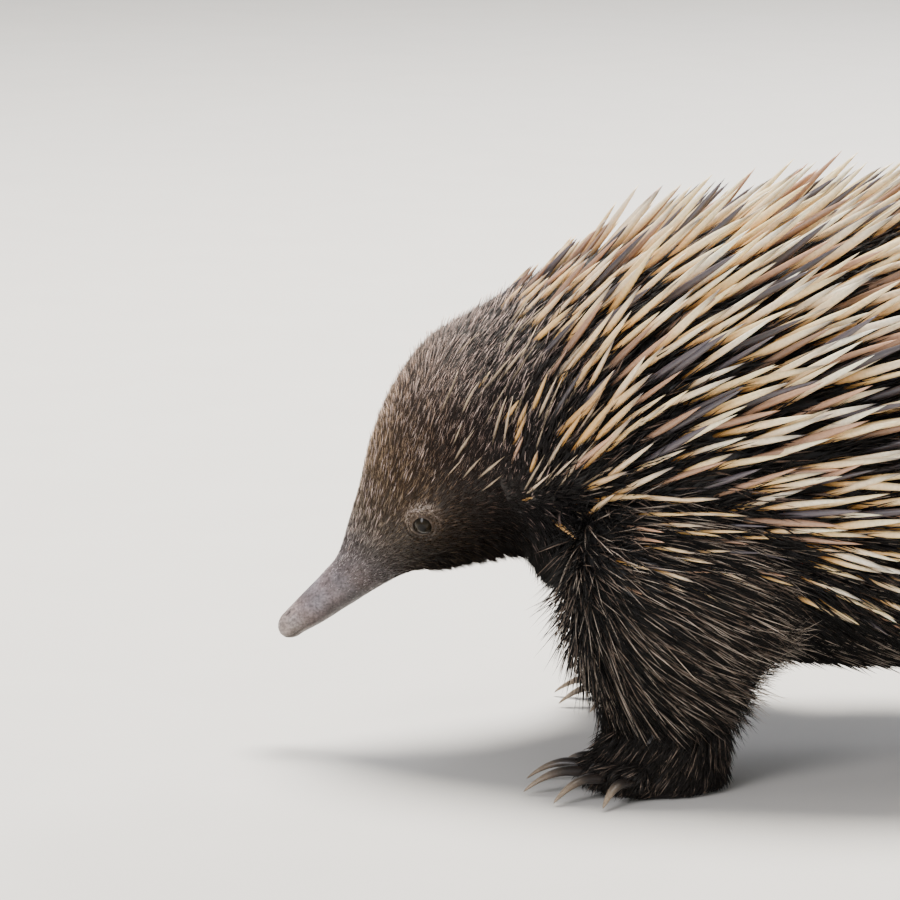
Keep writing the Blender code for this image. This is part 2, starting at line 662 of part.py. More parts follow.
def spine_axis(t, degrees, lift, turn):
    """The way a spine points: back along the body, down the flank by the droop, and off the skin by the lift."""
    along, out = body_slope(t, degrees).normalized(), body_normal(t, degrees)
    droop = math.radians(between(DROOPS, from_top(degrees)))
    down = (Vector((0, 0, -1)) + out * out.z).normalized()
    lie = (along * math.cos(droop) + down * math.sin(droop)).normalized()
    lie = Matrix.Rotation(math.radians(turn), 3, out) @ lie
    lie = (lie - out * lie.dot(out)).normalized()
    return lie * math.cos(math.radians(lift)) + out * math.sin(math.radians(lift))


def add_spine(node, t, degrees, coat, group):
    """One three-sided spine, bent or shortened until it is clear. It is left out if it never is."""
    ring, chance = ring_at(t), coat.random
    angle = from_top(degrees)
    lift = ring.lift * between(LIFT_SHARES, angle) + chance.uniform(-LIFT_SCATTER, LIFT_SCATTER)
    full = ring.spine * between(LENGTH_SHARES, angle) * chance.uniform(*LENGTH_SCATTER)
    turn, roll = chance.uniform(-TURN_SCATTER, TURN_SCATTER), chance.uniform(0.0, math.tau)
    base, out = body_point(t, degrees), body_normal(t, degrees)
    for more_lift, share in SPINE_TRIES:
        length = full * share
        axis = spine_axis(t, degrees, lift + more_lift, turn)
        radius = SPINE_RADIUS + SPINE_GROWTH * length
        points = [base - out * SPINE_SINK * 0.001, base + axis * length * SPINE_MIDDLE * 0.001]
        points.append(base + axis * length * 0.001)
        samples = samples_along(points, (radius * SPINE_ROOT, radius, 0.0), SPINE_SAMPLES)
        if coat.is_clear(node, samples):
            break
    else:
        return
    coat.take(samples)
    frame = turned_to(points[1] - points[0], out.cross(axis)).to_3x3()
    rings = []
    for middle, size in zip(points, (radius * SPINE_ROOT, radius)):
        corners = [roll + math.tau * k / 3 for k in range(3)]
        rings.append([middle + frame @ Vector((math.cos(a), math.sin(a), 0)) * size * 0.001 for a in corners])
    add_object("spine", loft(rings, points[-1]), group)


def limb_surface(ovals, z, angle, name):
    """A point of a limb's core at a height, and the way out of it."""
    heights = [oval.z for oval in ovals]
    t = next(i + (z - low) / (high - low) for i, (low, high) in enumerate(zip(heights, heights[1:])) if z <= high)
    place = limb_point(ovals, t, angle, name)
    turn = math.radians(SLOPE_TURN)
    around = limb_point(ovals, t, angle + turn, name) - limb_point(ovals, t, angle - turn, name)
    up = limb_point(ovals, t + SLOPE_STEP, angle, name) - limb_point(ovals, t - SLOPE_STEP, angle, name)
    return place, around.cross(up).normalized()


def lock_line(tree, base, out, lie, length, rise):
    """The middles of a lock, from its sunk root to its tip, which follow the leg's curve."""
    middles = [base - out * LOCK_SINK * 0.001]
    for along, height, _ in LOCK_STEPS:
        place, normal, _, _ = tree.find_nearest(base + lie * along * length * 0.001)
        middles.append(place + normal * height * rise * length * 0.001)
    return middles


def add_lock(node, ovals, row, angle, coat, group):
    """One flat, tapered lock of four sides that lies over the leg, raised or shortened until it is clear."""
    base, out = limb_surface(ovals, row.z + coat.random.uniform(-LOCK_SCATTER, LOCK_SCATTER), angle, node)
    lie = Vector(LOCK_LIE)
    lie = (lie - out * lie.dot(out)).normalized()
    across = lie.cross(out)
    full = row.length * coat.random.uniform(*LENGTH_SCATTER)
    widths = [row.width * width for width in (LOCK_ROOT, *(step[2] for step in LOCK_STEPS))]
    for rise, share in LOCK_TRIES:
        middles = lock_line(coat.trees[node], base, out, lie, full * share, rise)
        samples = []
        for edge in LOCK_LINES:
            line = [middle + across * edge * width * 0.001 for middle, width in zip(middles, widths)]
            samples += samples_along(line, [LOCK_THICKNESS] * len(line), LOCK_SAMPLES)
        if coat.is_clear(node, samples):
            break
    else:
        return []
    rings = []
    for middle, width in zip(middles[:-1], widths):
        flat = across * width / 2 * 0.001
        thick = out * LOCK_THICKNESS / 2 * 0.001
        rings.append([middle + flat, middle + thick, middle - flat, middle - thick])
    add_object("lock", loft(rings, middles[-1]), group)
    return samples


def add_locks(kind, side, leg, coat):
    """The rows of locks on one leg. Those of one leg may lie on each other."""
    ovals, node = LIMBS[kind], f"{kind}_{side}"
    group, samples = collection("locks"), []
    for k, row in enumerate(LOCK_ROWS[kind]):
        oval = next(o for o in ovals if o.z >= row.z)
        girth = math.pi * (oval.half_length + oval.half_width)
        count = int(girth / (row.width * LOCK_SPACING))
        for i in range(count):
            angle = math.tau * (i + 0.5 * (k % 2)) / count
            samples += add_lock(node, ovals, row, angle, coat, group)
    coat.take(samples)
    boolean(leg, group, "UNION")


def add_spines(node, obj, coat):
    """All the spines of one part of the body, fused to it."""
    group = collection("spines")
    for t, degrees in spine_roots(SPINE_FIELDS[node], coat.random):
        add_spine(node, t, degrees, coat, group)
    boolean(obj, group, "UNION")


def build():
    clear_scene()
    model = collection("echidna")
    finishes = {"beak": SKIN, "head": FUR, "neck": FUR, "torso": SPINY, "tail": SPINY}
    for section in SECTIONS:
        add_object(section.name, loft(body_section(section)), model, finishes[section.name])
    add_mouth_and_nostrils(model.objects["beak"])
    add_face(model.objects["head"], model)
    limbs = [(kind, side) for kind in LIMBS for side in SIDES]
    for kind, side in limbs:
        add_limb(kind, side, model)
        add_foot(kind, side, model)
    coat = Coat(model)
    for kind, side in limbs:
        add_locks(kind, side, model.objects[f"{kind}_{side}"], coat)
    for node in SPINE_FIELDS:
        add_spines(node, model.objects[node], coat)


build()
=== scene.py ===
# %% [markdown]
# # A short-beaked echidna at life size
#
# The model is a still animal, walking with its beak held low. One skin covers the whole body, and spines,
# fur and bristles grow from it, with two eyes and twenty claws beside them. The solids say where everything
# is, so the script starts by loading them, and the skin, the eyes and the claws take their places.

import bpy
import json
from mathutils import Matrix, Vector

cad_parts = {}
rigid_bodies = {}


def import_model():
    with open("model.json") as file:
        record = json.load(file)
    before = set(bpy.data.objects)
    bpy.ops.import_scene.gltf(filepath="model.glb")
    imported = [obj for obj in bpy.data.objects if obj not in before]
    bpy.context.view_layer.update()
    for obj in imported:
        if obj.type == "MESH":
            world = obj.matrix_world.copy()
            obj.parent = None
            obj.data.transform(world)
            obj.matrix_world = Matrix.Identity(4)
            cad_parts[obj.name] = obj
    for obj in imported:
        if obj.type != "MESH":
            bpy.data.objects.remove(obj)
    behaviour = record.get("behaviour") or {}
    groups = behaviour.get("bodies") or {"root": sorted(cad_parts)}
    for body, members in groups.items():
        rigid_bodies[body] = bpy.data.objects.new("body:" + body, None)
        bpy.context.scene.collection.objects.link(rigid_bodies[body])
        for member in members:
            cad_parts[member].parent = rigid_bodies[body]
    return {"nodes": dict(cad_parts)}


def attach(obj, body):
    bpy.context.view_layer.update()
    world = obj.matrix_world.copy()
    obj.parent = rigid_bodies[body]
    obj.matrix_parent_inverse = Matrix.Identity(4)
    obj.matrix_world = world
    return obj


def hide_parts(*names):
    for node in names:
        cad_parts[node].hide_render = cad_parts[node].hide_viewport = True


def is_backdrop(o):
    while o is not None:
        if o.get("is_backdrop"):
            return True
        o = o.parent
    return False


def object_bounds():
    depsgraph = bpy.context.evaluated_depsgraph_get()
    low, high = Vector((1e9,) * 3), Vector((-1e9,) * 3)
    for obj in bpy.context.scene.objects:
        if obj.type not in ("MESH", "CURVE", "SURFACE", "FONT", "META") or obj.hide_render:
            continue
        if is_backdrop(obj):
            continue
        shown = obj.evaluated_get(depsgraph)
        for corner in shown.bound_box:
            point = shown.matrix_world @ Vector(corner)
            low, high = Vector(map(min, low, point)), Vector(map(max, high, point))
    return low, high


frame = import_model()
solid_low, solid_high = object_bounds()
solid_sides = [round(high - low, 3) for low, high in zip(solid_low, solid_high)]
print("solids:", len(frame["nodes"]), "nodes, sides", solid_sides)

# %% The modules that shape, measure and scatter
import json
import math

import bmesh
import bpy
import numpy as np
from mathutils import Matrix, Vector
from mathutils.kdtree import KDTree

SIDES = {"left": -1.0, "right": 1.0}
MM = 0.001
OVER_FLOOR = 0.1 * MM  # how far the lowest skin and hairs stay above the floor

# %% [markdown]
# ## Places and colours
#
# An animal is measured from the tip of its nose, so the tables count millimetres back from the tip of the
# beak. One function turns such a place into the frame's metres, whose origin is under the middle of the
# animal. Another turns a colour as a painter reads it off a chart into the linear light that shaders mix.

# %% From millimetres behind the beak to the frame
BEAK_TO_ORIGIN = 215.3


def mm(x, y, z):
    """Places of the tables, also whole arrays of them, in the frame's metres."""
    return np.stack(np.broadcast_arrays(np.asarray(x, float) - BEAK_TO_ORIGIN, y, z), axis=-1) * MM


def linear(code):
    """A #rrggbb colour as linear light."""
    parts = np.array([int(code[i : i + 2], 16) / 255 for i in (1, 3, 5)])
    return np.where(parts <= 0.04045, parts / 12.92, ((parts + 0.055) / 1.055) ** 2.4)


def unit(vectors):
    return vectors / np.maximum(np.linalg.norm(vectors, axis=-1, keepdims=True), 1e-12)


def ease(low, high, x):
    """0 below low, 1 above high and a soft step between."""
    share = np.clip((x - low) / (high - low), 0, 1)
    return share * share * (3 - 2 * share)


def between(low, full, fade, high, x):
    """0 outside low and high, 1 from full to fade, and soft steps between."""
    return ease(low, full, x) * (1 - ease(fade, high, x))


def look_up(pairs, x):
    """What a table of pairs, a place and its value, says at x."""
    return np.interp(x, *zip(*pairs))


print("the tip of the beak is at x", round(float(mm(0, 0, 0)[0]), 4), "m")

# %% [markdown]
# ## The camera
#
# The photograph looks at the animal's left side through a long lens, from a little above. The nose points
# left and the rump runs out of the frame. A long lens far away keeps the body's proportions, so the distance
# comes from the size that the body has in the frame, and the aim from what lies in its middle.

# %% Set up the camera
LENS, SENSOR = 200.0, 36.0
CAMERA_RISE = math.radians(10)
CAMERA_DISTANCE = 1.818
CAMERA_AIM = Vector(mm(62.9, 0, 109.3))

camera_data = bpy.data.cameras.new("long lens")
camera_data.lens, camera_data.sensor_width = LENS, SENSOR
camera = bpy.data.objects.new("camera", camera_data)
bpy.context.scene.collection.objects.link(camera)
camera_back = Vector((0, -math.cos(CAMERA_RISE), math.sin(CAMERA_RISE)))
camera.location = CAMERA_AIM + camera_back * CAMERA_DISTANCE
camera.rotation_mode = "QUATERNION"
camera.rotation_quaternion = (-camera_back).to_track_quat("-Z", "Y")
camera_data.clip_start, camera_data.clip_end = 0.1, 50.0
bpy.context.scene.camera = camera
print("camera at", [round(v, 3) for v in camera.location])

# %% [markdown]
# ## The body as rings
#
# From lips to tail the body is one long rounded form. Each ring below is a slice through it: its top and low
# points, its half width, and how far up it is widest, with the length of the spines on it and how far they
# stand off the back. A smooth curve through the rows gives the slice anywhere between. This could be
# sculpted, but slices are how a taxidermist measures a body, and they can be checked one by one against a
# photograph.

# %% The slices, from the lips to the end of the tail
# top x, top z, low x, low z, half width, level, spine length, spine lift
RINGS = np.array(
    (
        (2.1, 48.7, 8.9, 41.6, 5.3, 0.50, 0, 0),  # 0 lips
        (9.0, 56.0, 17.0, 46.0, 6.3, 0.50, 0, 0),  # 1 front of the beak
        (16.0, 63.3, 25.0, 51.2, 7.2, 0.50, 0, 0),  # 2 middle of the beak
        (21.4, 70.4, 36.5, 58.2, 9.6, 0.50, 0, 0),  # 3 root of the beak
        (25.2, 82.7, 49.0, 64.2, 14.0, 0.50, 0, 0),  # 4 between beak and eye
        (29.2, 96.7, 61.5, 67.4, 19.5, 0.50, 0, 0),  # 5 eye
        (34.0, 114.8, 73.5, 70.2, 25.5, 0.48, 0, 0),  # 6 cheek
        (42.2, 133.6, 84.0, 73.0, 31.5, 0.46, 0, 0),  # 7 brow
        (55.8, 151.0, 91.5, 73.5, 38.0, 0.45, 4, 14),  # 8 ear
        (75.0, 161.5, 97.0, 70.0, 45.0, 0.45, 15, 19),  # 9 nape
        (96.5, 171.5, 104.0, 60.0, 53.0, 0.46, 30, 25),  # 10 front of the shoulder
        (124.0, 181.0, 126.0, 46.0, 63.0, 0.47, 40, 31),  # 11 shoulder
        (160.0, 187.5, 160.0, 36.0, 73.0, 0.46, 44, 33),  # 12 behind the shoulder
        (213.0, 191.5, 213.0, 30.0, 80.0, 0.44, 46, 34),  # 13 middle of the back
        (268.0, 187.5, 266.0, 30.0, 79.0, 0.43, 47, 34),  # 14 loin
        (316.0, 173.0, 308.0, 34.0, 72.0, 0.43, 47, 36),  # 15 hip
        (352.0, 149.0, 341.0, 39.0, 60.0, 0.44, 46, 41),  # 16 rump
        (376.0, 121.0, 364.0, 43.0, 45.0, 0.45, 44, 47),  # 17 back of the rump
        (390.0, 96.0, 380.0, 47.0, 29.0, 0.46, 38, 49),  # 18 root of the tail
        (400.0, 79.0, 392.0, 48.0, 17.0, 0.48, 31, 46),  # 19 tail
        (408.0, 68.0, 403.0, 49.0, 9.5, 0.50, 24, 40),  # 20 end of the tail
    )
)
LAST_RING = len(RINGS) - 1
BEAK_DOME, TAIL_DOME = 6.0, 6.0
# Slopes are read this far to each side of a place, on the ring count and in degrees
SLOPE_STEP, SLOPE_TURN = 0.05, 0.5


def read_table(table, t):
    """A table's rows at places t on its count, on a Catmull-Rom curve through them."""
    last = len(table) - 1
    t = np.clip(np.asarray(t, float), 0, last)
    i = np.minimum(t.astype(int), last - 1)
    u = (t - i)[..., None]
    before, here, after, beyond = (table[np.clip(i + k, 0, last)] for k in (-1, 0, 1, 2))
    square = (2 * before - 5 * here + 4 * after - beyond) * u**2
    cube = (3 * here - before - 3 * after + beyond) * u**3
    return 0.5 * (2 * here + (after - before) * u + (square + cube))


def trunk(t, degrees, out=0.0):
    """Points of the body at places t on the ring count and degrees from the top down its left side.

    Below ring 0 and past the last ring a full count runs over the dome that closes the end.
    """
    t, degrees, out = np.broadcast_arrays(*(np.asarray(value, float) for value in (t, degrees, out)))
    ring = read_table(RINGS, t)
    top, low, half_width, level = ring[..., :2], ring[..., 2:4], ring[..., 4], ring[..., 5]
    height = np.linalg.norm(top - low, axis=-1)
    up = unit(top - low)
    angle = np.radians(degrees)
    rise = (height * np.where(np.cos(angle) > 0, 1 - level, level) + out) * np.cos(angle)
    point = low + up * (height * level + rise)[..., None]
    dome = np.clip(np.maximum(-t, t - LAST_RING), 0, 1) * math.pi / 2
    middle = (top + low) / 2
    push = np.where(t < 0, -BEAK_DOME, TAIL_DOME) * np.sin(dome)
    back = np.stack((up[..., 1], -up[..., 0]), axis=-1)
    point = middle + (point - middle) * np.cos(dome)[..., None] + back * push[..., None]
    return mm(point[..., 0], -(half_width + out) * np.sin(angle) * np.cos(dome), point[..., 1])


def trunk_slopes(t, degrees):
    """How the body's surface runs: for one count towards the tail, and for one degree round it."""
    t, degrees = np.asarray(t, float), np.asarray(degrees, float)
    along = (trunk(t + SLOPE_STEP, degrees) - trunk(t - SLOPE_STEP, degrees)) / (2 * SLOPE_STEP)
    around = (trunk(t, degrees + SLOPE_TURN) - trunk(t, degrees - SLOPE_TURN)) / (2 * SLOPE_TURN)
    return along, around


def from_top(degrees):
    """Degrees round a ring as the angle from its top, on either side."""
    return np.abs((np.asarray(degrees, float) + 180) % 360 - 180)


# How deep the coat is at places on the ring count, and how much deeper on the belly, in millimetres
COAT_DEPTH = ((2.4, 0.0), (3.6, 0.8), (6.0, 1.5), (8.6, 2.0), (10.5, 1.2), (17.0, 1.2), (20.0, 0.6))
BELLY_DEPTH = 2.8


def coat_depth(t, degrees):
    """How far the skin lies under the outline of the coat, in millimetres."""
    return look_up(COAT_DEPTH, t) + BELLY_DEPTH * ease(118, 150, from_top(degrees)) * ease(9.0, 11.0, t)


print("length from lips to tail", round(float(np.linalg.norm(trunk(20, 0) - trunk(0, 0))), 3), "m")

# %% [markdown]
# ## The legs as ovals
#
# Echidnas stand on short, wide legs. A leg is a stack of level ovals from the wrist or ankle up to where the
# body hides it, and the foot below it is a flat pad that turns into the first oval. The forefeet point ahead
# and the hind feet point back and out, which is how an echidna walks.

# %% The ovals of the legs and the shape of the feet
# centre x, distance from the mid plane, height, half length, half width
LEGS = {
    "foreleg": np.array(
        (
            (141.0, 66.0, 24.0, 20.0, 16.0),  # wrist
            (141.0, 67.0, 38.0, 29.0, 20.0),  # forearm
            (143.0, 65.0, 56.0, 40.0, 24.5),  # elbow
            (145.0, 58.0, 79.0, 43.0, 28.0),  # upper arm
            (148.0, 45.0, 104.0, 38.0, 27.0),  # shoulder
            (150.0, 32.0, 122.0, 28.0, 19.0),
        )
    ),
    "hindleg": np.array(
        (
            (338.0, 68.0, 22.0, 17.5, 16.0),  # ankle
            (336.0, 69.0, 38.0, 23.5, 20.0),  # shin
            (330.0, 66.0, 58.0, 32.0, 25.0),  # knee
            (322.0, 57.0, 82.0, 39.0, 28.0),  # thigh
            (317.0, 43.0, 108.0, 36.0, 25.0),  # hip
            (315.0, 30.0, 126.0, 26.0, 19.0),
        )
    ),
}
# How far behind its place in the table each leg is set, in mid step
STEP = {"foreleg_left": 0.0, "foreleg_right": 14.0, "hindleg_left": 4.0, "hindleg_right": -14.0}
# The way a foot points, outward from straight ahead, how far ahead of the ankle its middle is, its half
# sizes, the fan of its toes, and each claw's length and width from the inner toe to the outer
FEET = {
    "foreleg": (14.0, 5.0, 25.0, 20.0, 21.0, ((14, 5.6), (19, 6.4), (21, 6.8), (19, 6.4), (14, 5.6))),
    "hindleg": (122.0, 9.0, 27.0, 17.0, 19.0, ((9, 5.0), (32, 5.4), (24, 5.2), (13, 5.0), (9, 4.8))),
}
# The foot's width at shares of the ankle's height, and how late the pad turns into the ankle
FOOT_SWELL, FOOT_BLEND = ((0.0, 0.90), (0.18, 1.0), (0.45, 0.97), (0.75, 0.98), (1.0, 1.0)), 1.6
LEG_TOP = 5.0
# How far the skin lies under the leg's outline: next to nothing at the sole, more where the coat is long
LEG_COAT_DEPTH = ((-1.0, 0.2), (-0.7, 0.7), (0.0, 1.2), (1.0, 4.2), (5.0, 4.2))


def foot_axes(kind, side):
    """The ways a foot points and widens."""
    turn = math.radians(FEET[kind][0])
    ahead = np.array((-math.cos(turn), SIDES[side] * math.sin(turn), 0.0))
    return ahead, np.array((-ahead[1], ahead[0], 0.0))


def leg_surface(kind, side, v, angle, inset):
    """Points of a leg: v is -1 at the sole, 0 at the ankle and 5 inside the body, and angle runs round it."""
    v, angle, inset = np.broadcast_arrays(*(np.asarray(value, float) for value in (v, angle, inset)))
    _, reach, half_length, half_width, _, _ = FEET[kind]
    ahead, across = foot_axes(kind, side)
    pad = ahead * (half_length - inset)[..., None] * np.cos(angle)[..., None]
    pad = pad + across * (half_width - inset)[..., None] * np.sin(angle)[..., None]
    turn = np.arctan2(pad[..., 1], pad[..., 0])
    oval = read_table(LEGS[kind], v)
    half_sizes = (oval[..., 3:] - inset[..., None]) * np.stack((np.cos(turn), np.sin(turn)), axis=-1)
    joint = np.concatenate((half_sizes, 0 * half_sizes[..., :1]), axis=-1)
    share = np.clip(v + 1, 0, 1)
    blend = (share**FOOT_BLEND)[..., None]
    swell = look_up(FOOT_SWELL, share)[..., None]
    offset = (pad * (1 - blend) + joint * blend) * swell + ahead * reach * (1 - blend)
    x = oval[..., 0] + STEP[f"{kind}_{side}"] + offset[..., 0]
    return mm(x, SIDES[side] * oval[..., 1] + offset[..., 1], oval[..., 2] * share)


for kind in LEGS:
    print(kind, "stands", float(LEGS[kind][0, 2]), "mm high at the ankle")

# %% [markdown]
# ## A rolled grid
#
# Body, legs, toes and claws are all closed tubes. Blender's grid, rolled up by moving its vertices, gives
# such a tube with even quads: one way of the grid runs along it and the other way round it. Where the grid's
# edges meet, their vertices are merged, which also closes the ends, because the end rows shrink to a point.

# %% Roll a grid into a closed tube
SAME_PLACE = 0.002 * MM


def rolled(rows, sides, place):
    """A closed bmesh. place turns two arrays, the row's share from 0 to 1 and the angle, into points."""
    bm = bmesh.new()
    bmesh.ops.create_grid(bm, x_segments=rows, y_segments=sides, size=1.0)
    spots = np.array([vert.co[:2] for vert in bm.verts])
    for vert, point in zip(bm.verts, place((spots[:, 0] + 1) / 2, (spots[:, 1] + 1) * math.pi)):
        vert.co = point
    bmesh.ops.remove_doubles(bm, verts=bm.verts, dist=SAME_PLACE)
    bmesh.ops.recalc_face_normals(bm, faces=bm.faces)
    return bm


def add_piece(name, bm_or_mesh, *finishes):
    """A mesh as a shown object at the origin, shaded smooth, with its finishes."""
    mesh = bm_or_mesh
    if isinstance(bm_or_mesh, bmesh.types.BMesh):
        mesh = bpy.data.meshes.new(name)
        bm_or_mesh.to_mesh(mesh)
        bm_or_mesh.free()
    mesh.shade_smooth()
    for finish in finishes:
        mesh.materials.append(finish)
    piece = bpy.data.objects.new(name, mesh)
    bpy.context.scene.collection.objects.link(piece)
    return piece


def paint_points(mesh, colours):
    """A colour for each vertex, under the name that the finishes read."""
    colours = np.concatenate((colours, np.ones((len(colours), 1))), axis=1)
    layer = mesh.color_attributes.new("coat", "FLOAT_COLOR", "POINT")
    layer.data.foreach_set("color", colours.reshape(-1).astype(np.float32))


def soften(bm, verts, passes):
    for _ in range(passes):
        bmesh.ops.smooth_vert(bm, verts=verts, factor=0.5, use_axis_x=True, use_axis_y=True, use_axis_z=True)


def shaped(piece):
    """What a piece's modifiers make of its mesh, with the piece itself removed."""
    mesh = bpy.data.meshes.new_from_object(piece.evaluated_get(bpy.context.evaluated_depsgraph_get()))
    bpy.data.objects.remove(piece)
    return mesh


# %% [markdown]
# ## The skin of head and body
#
# The rows of the grid are close on the beak and head, where wrinkles, lids and nostrils need them, and wider
# on the back, where the coat hides the skin. The skin lies under the outline by the depth of the coat.

# %% Roll the body's skin
BODY_ROWS, BODY_SIDES = 330, 128
# Shares of the rows, and where they lie on the ring count
ROW_PLACES = ((0.0, -1.0), (0.05, 0.0), (0.32, 3.5), (0.66, 9.0), (0.95, 20.0), (1.0, 21.0))


def body_place(share, angle):
    t, degrees = look_up(ROW_PLACES, share), np.degrees(angle)
    return trunk(t, degrees, -coat_depth(t, degrees))


body = rolled(BODY_ROWS, BODY_SIDES, body_place)
print("body skin:", len(body.faces), "faces")

# %% [markdown]
# ## The face
#
# The eye is a small dark bead in a ring of folded skin. Behind it lies the long slit of the ear, almost
# hidden in the fur, and at the tip of the beak two slit nostrils and a mouth only as wide as the tongue
# needs. These are small swells and grooves of one skin, so they are made by moving its vertices in and out,
# by a few tenths of a millimetre for a fold and further for the slits and the eye's socket. Round the eye
# the faces are first cut finer, so that the lids have smooth edges.

# %% Frames on the face
# Places on the ring count and in degrees from the top, and openings as half sizes along the head and up it
EYE_PLACE, EYE_OPENING = (5.62, 97.0), (3.5, 3.1)
EYE_RADIUS, EYE_BULGE = 5.0, 0.85
EAR_PLACE, EAR_OPENING = (8.15, 103.0), (1.2, 6.5)
NOSTRIL_PLACE, NOSTRIL_OPENING = (0.22, 31.0), (1.5, 0.6)
MOUTH_ANGLE, MOUTH_ENDS, MOUTH_REACH = 128.0, (0.8, -0.9), 25.0
THROUGH = 10.0  # millimetres in or out of the skin at which a point no longer belongs to the spot
FAR_AWAY = 999.0


def on_side(place, side):
    """A place of the left side as it is on either side."""
    return place[0], place[1] if side == "left" else 360 - place[1]


def face_frame(place, side):
    """A spot of the skin on one side of the face, with the ways out, back and up."""
    t, degrees = on_side(place, side)
    along, around = trunk_slopes(t, degrees)
    out = unit(np.cross(around, along))
    back = unit(along - out * (along @ out))
    up = np.cross(out, back)
    if up[2] < 0:
        up = -up
    return trunk(t, degrees, -coat_depth(t, degrees)), out, back, up


def seen_from(points, spot_frame):
    """Points as millimetres back, up and out from a spot of the face, those across the head far away."""
    spot, out, back, up = spot_frame
    seen = np.stack([(points - spot) @ way for way in (back, up, out)], axis=-1) / MM
    seen[np.abs(seen[:, 2]) > THROUGH] += FAR_AWAY
    return seen


def oval_in(spots, opening):
    """How far points are from the middle of an opening, 1 being its edge."""
    return np.hypot(spots[..., 0] / opening[0], spots[..., 1] / opening[1])


# %% Cut the skin finer round the eyes
EYE_FINE, EYE_CUTS = 7.5, 2
for side in SIDES:
    middles = np.array([face.calc_center_median() for face in body.faces])
    near = np.linalg.norm(seen_from(middles, face_frame(EYE_PLACE, side)), axis=1) < EYE_FINE
    edges = {edge for face, is_near in zip(body.faces, near) if is_near for edge in face.edges}
    bmesh.ops.subdivide_edges(body, edges=list(edges), cuts=EYE_CUTS, use_grid_fill=True)
print("with fine skin round the eyes:", len(body.faces), "faces")


# %% Swells and grooves of the face
# Heights, under zero for depths, in millimetres. Places and widths are shares of the opening's half size.
SOCKET_DEPTH, SOCKET_EDGE, LID = -4.5, (0.84, 0.98), (0.30, 1.12, 0.14)
# Each fold round the eye, and the ridge outside it: depth or height, place, width
EYE_FOLDS = (((-0.30, 1.42, 0.10), (0.24, 1.60, 0.13)), ((-0.20, 1.84, 0.11), (0.18, 2.05, 0.15)))
EYE_CREASES, EYE_MOUND, MOUND_REACH = (0.16, 1.65, 0.5), 1.0, 2.7
EAR_SLIT, EAR_RIM = -1.2, (0.15, 1.5, 0.35)
NOSTRIL_SLIT, NOSTRIL_RIM = -0.8, (0.14, 1.5, 0.3)
MOUTH_SLIT, LIP = (-0.42, 0, 0.30), (0.10, 0.8, 0.4)  # here places and widths are millimetres too


def bell(x, middle, width):
    return np.exp(-(((x - middle) / width) ** 2))


def swell(x, form):
    """A swell or, with a height under zero, a groove: its height, place and width."""
    height, middle, width = form
    return height * bell(x, middle, width)


def eye_relief(spots):
    """Socket, lids, the folds round them and the mound they lie on, in millimetres out, for one eye."""
    oval = oval_in(spots, EYE_OPENING)
    bearing = np.arctan2(spots[:, 1], spots[:, 0])
    uneven = 1 + 0.45 * np.sin(bearing * 3 + 0.7) + 0.30 * np.sin(bearing * 7)
    wavy = oval * (1 + 0.05 * np.sin(bearing * 2 + 1.0) + 0.03 * np.sin(bearing * 5))
    socket = SOCKET_DEPTH * (1 - ease(*SOCKET_EDGE, oval))
    folds = 0
    for fold, ridge in EYE_FOLDS:
        folds = folds + (swell(wavy, fold) * uneven + swell(wavy, ridge))
    height, *crease_place = EYE_CREASES
    creases = height * np.sin(bearing * 17 + 2 * np.sin(bearing * 3)) * bell(oval, *crease_place)
    mound = EYE_MOUND * np.exp(-((oval / MOUND_REACH) ** 2))
    return socket + swell(oval, LID) + folds + creases + mound


def ear_relief(spots):
    """The ear's slit, upright behind the cheek, with a low rim."""
    oval = oval_in(spots, EAR_OPENING)
    return EAR_SLIT * np.exp(-(oval**4)) + swell(oval, EAR_RIM)


def nostril_relief(spots):
    """A slit with a faint rim, that runs along the beak."""
    oval = oval_in(spots, NOSTRIL_OPENING)
    return NOSTRIL_SLIT * np.exp(-(oval**4)) + swell(oval, NOSTRIL_RIM)


def mouth_relief(points):
    """The slit of the mouth round the tip of the beak, with the lip swelling over it."""
    back = np.linspace(*MOUTH_ENDS, 90)
    line = np.concatenate([trunk(back, angle) for angle in (MOUTH_ANGLE, 360 - MOUTH_ANGLE)])
    gap = np.full(len(points), FAR_AWAY)
    tip = np.linalg.norm(points - trunk(0, 90), axis=1) < MOUTH_REACH * MM
    gap[tip] = np.linalg.norm(points[tip, None] - line[None], axis=2).min(axis=1) / MM
    return swell(gap, MOUTH_SLIT) + swell(gap, LIP)


body.normal_update()
skin_points = np.array([vert.co for vert in body.verts])
skin_normals = np.array([vert.normal for vert in body.verts])
relief = mouth_relief(skin_points)
for side in SIDES:
    for place, form in ((EYE_PLACE, eye_relief), (EAR_PLACE, ear_relief), (NOSTRIL_PLACE, nostril_relief)):
        relief += form(seen_from(skin_points, face_frame(place, side)))
for vert, point in zip(body.verts, skin_points + skin_normals * relief[:, None] * MM):
    vert.co = point
print("face relief from", round(float(relief.min()), 2), "to", round(float(relief.max()), 2), "mm")

# %% [markdown]
# ## Legs, feet and toes
#
# A foot is a pad with five short toes, and their forms melt into each other. Rolled tubes for the leg and
# each toe are laid through one another, and Blender's voxel remesh turns the heap into one even skin, as wax
# over a wire frame. A little smoothing softens the hollows between the toes.

# %% Roll one leg and its toes, and remesh them
TOE_RADIUS, TOE_REACH, TOE_HEIGHT, TOE_LENGTH = 4.6, 3.0, 7.0, 20.0
# Shares of a toe where its domed end starts and its root is full, its arch in millimetres, its flatness
TOE_DOME, TOE_ROOT, TOE_ARCH, TOE_FLAT = 0.72, 0.05, 1.2, 0.92
TOE_ROWS, TOE_ROUND, LEG_ROWS, LEG_ROUND = 20, 20, 60, 48
LEG_VOXEL, LEG_SMOOTHING = 1.38, 3


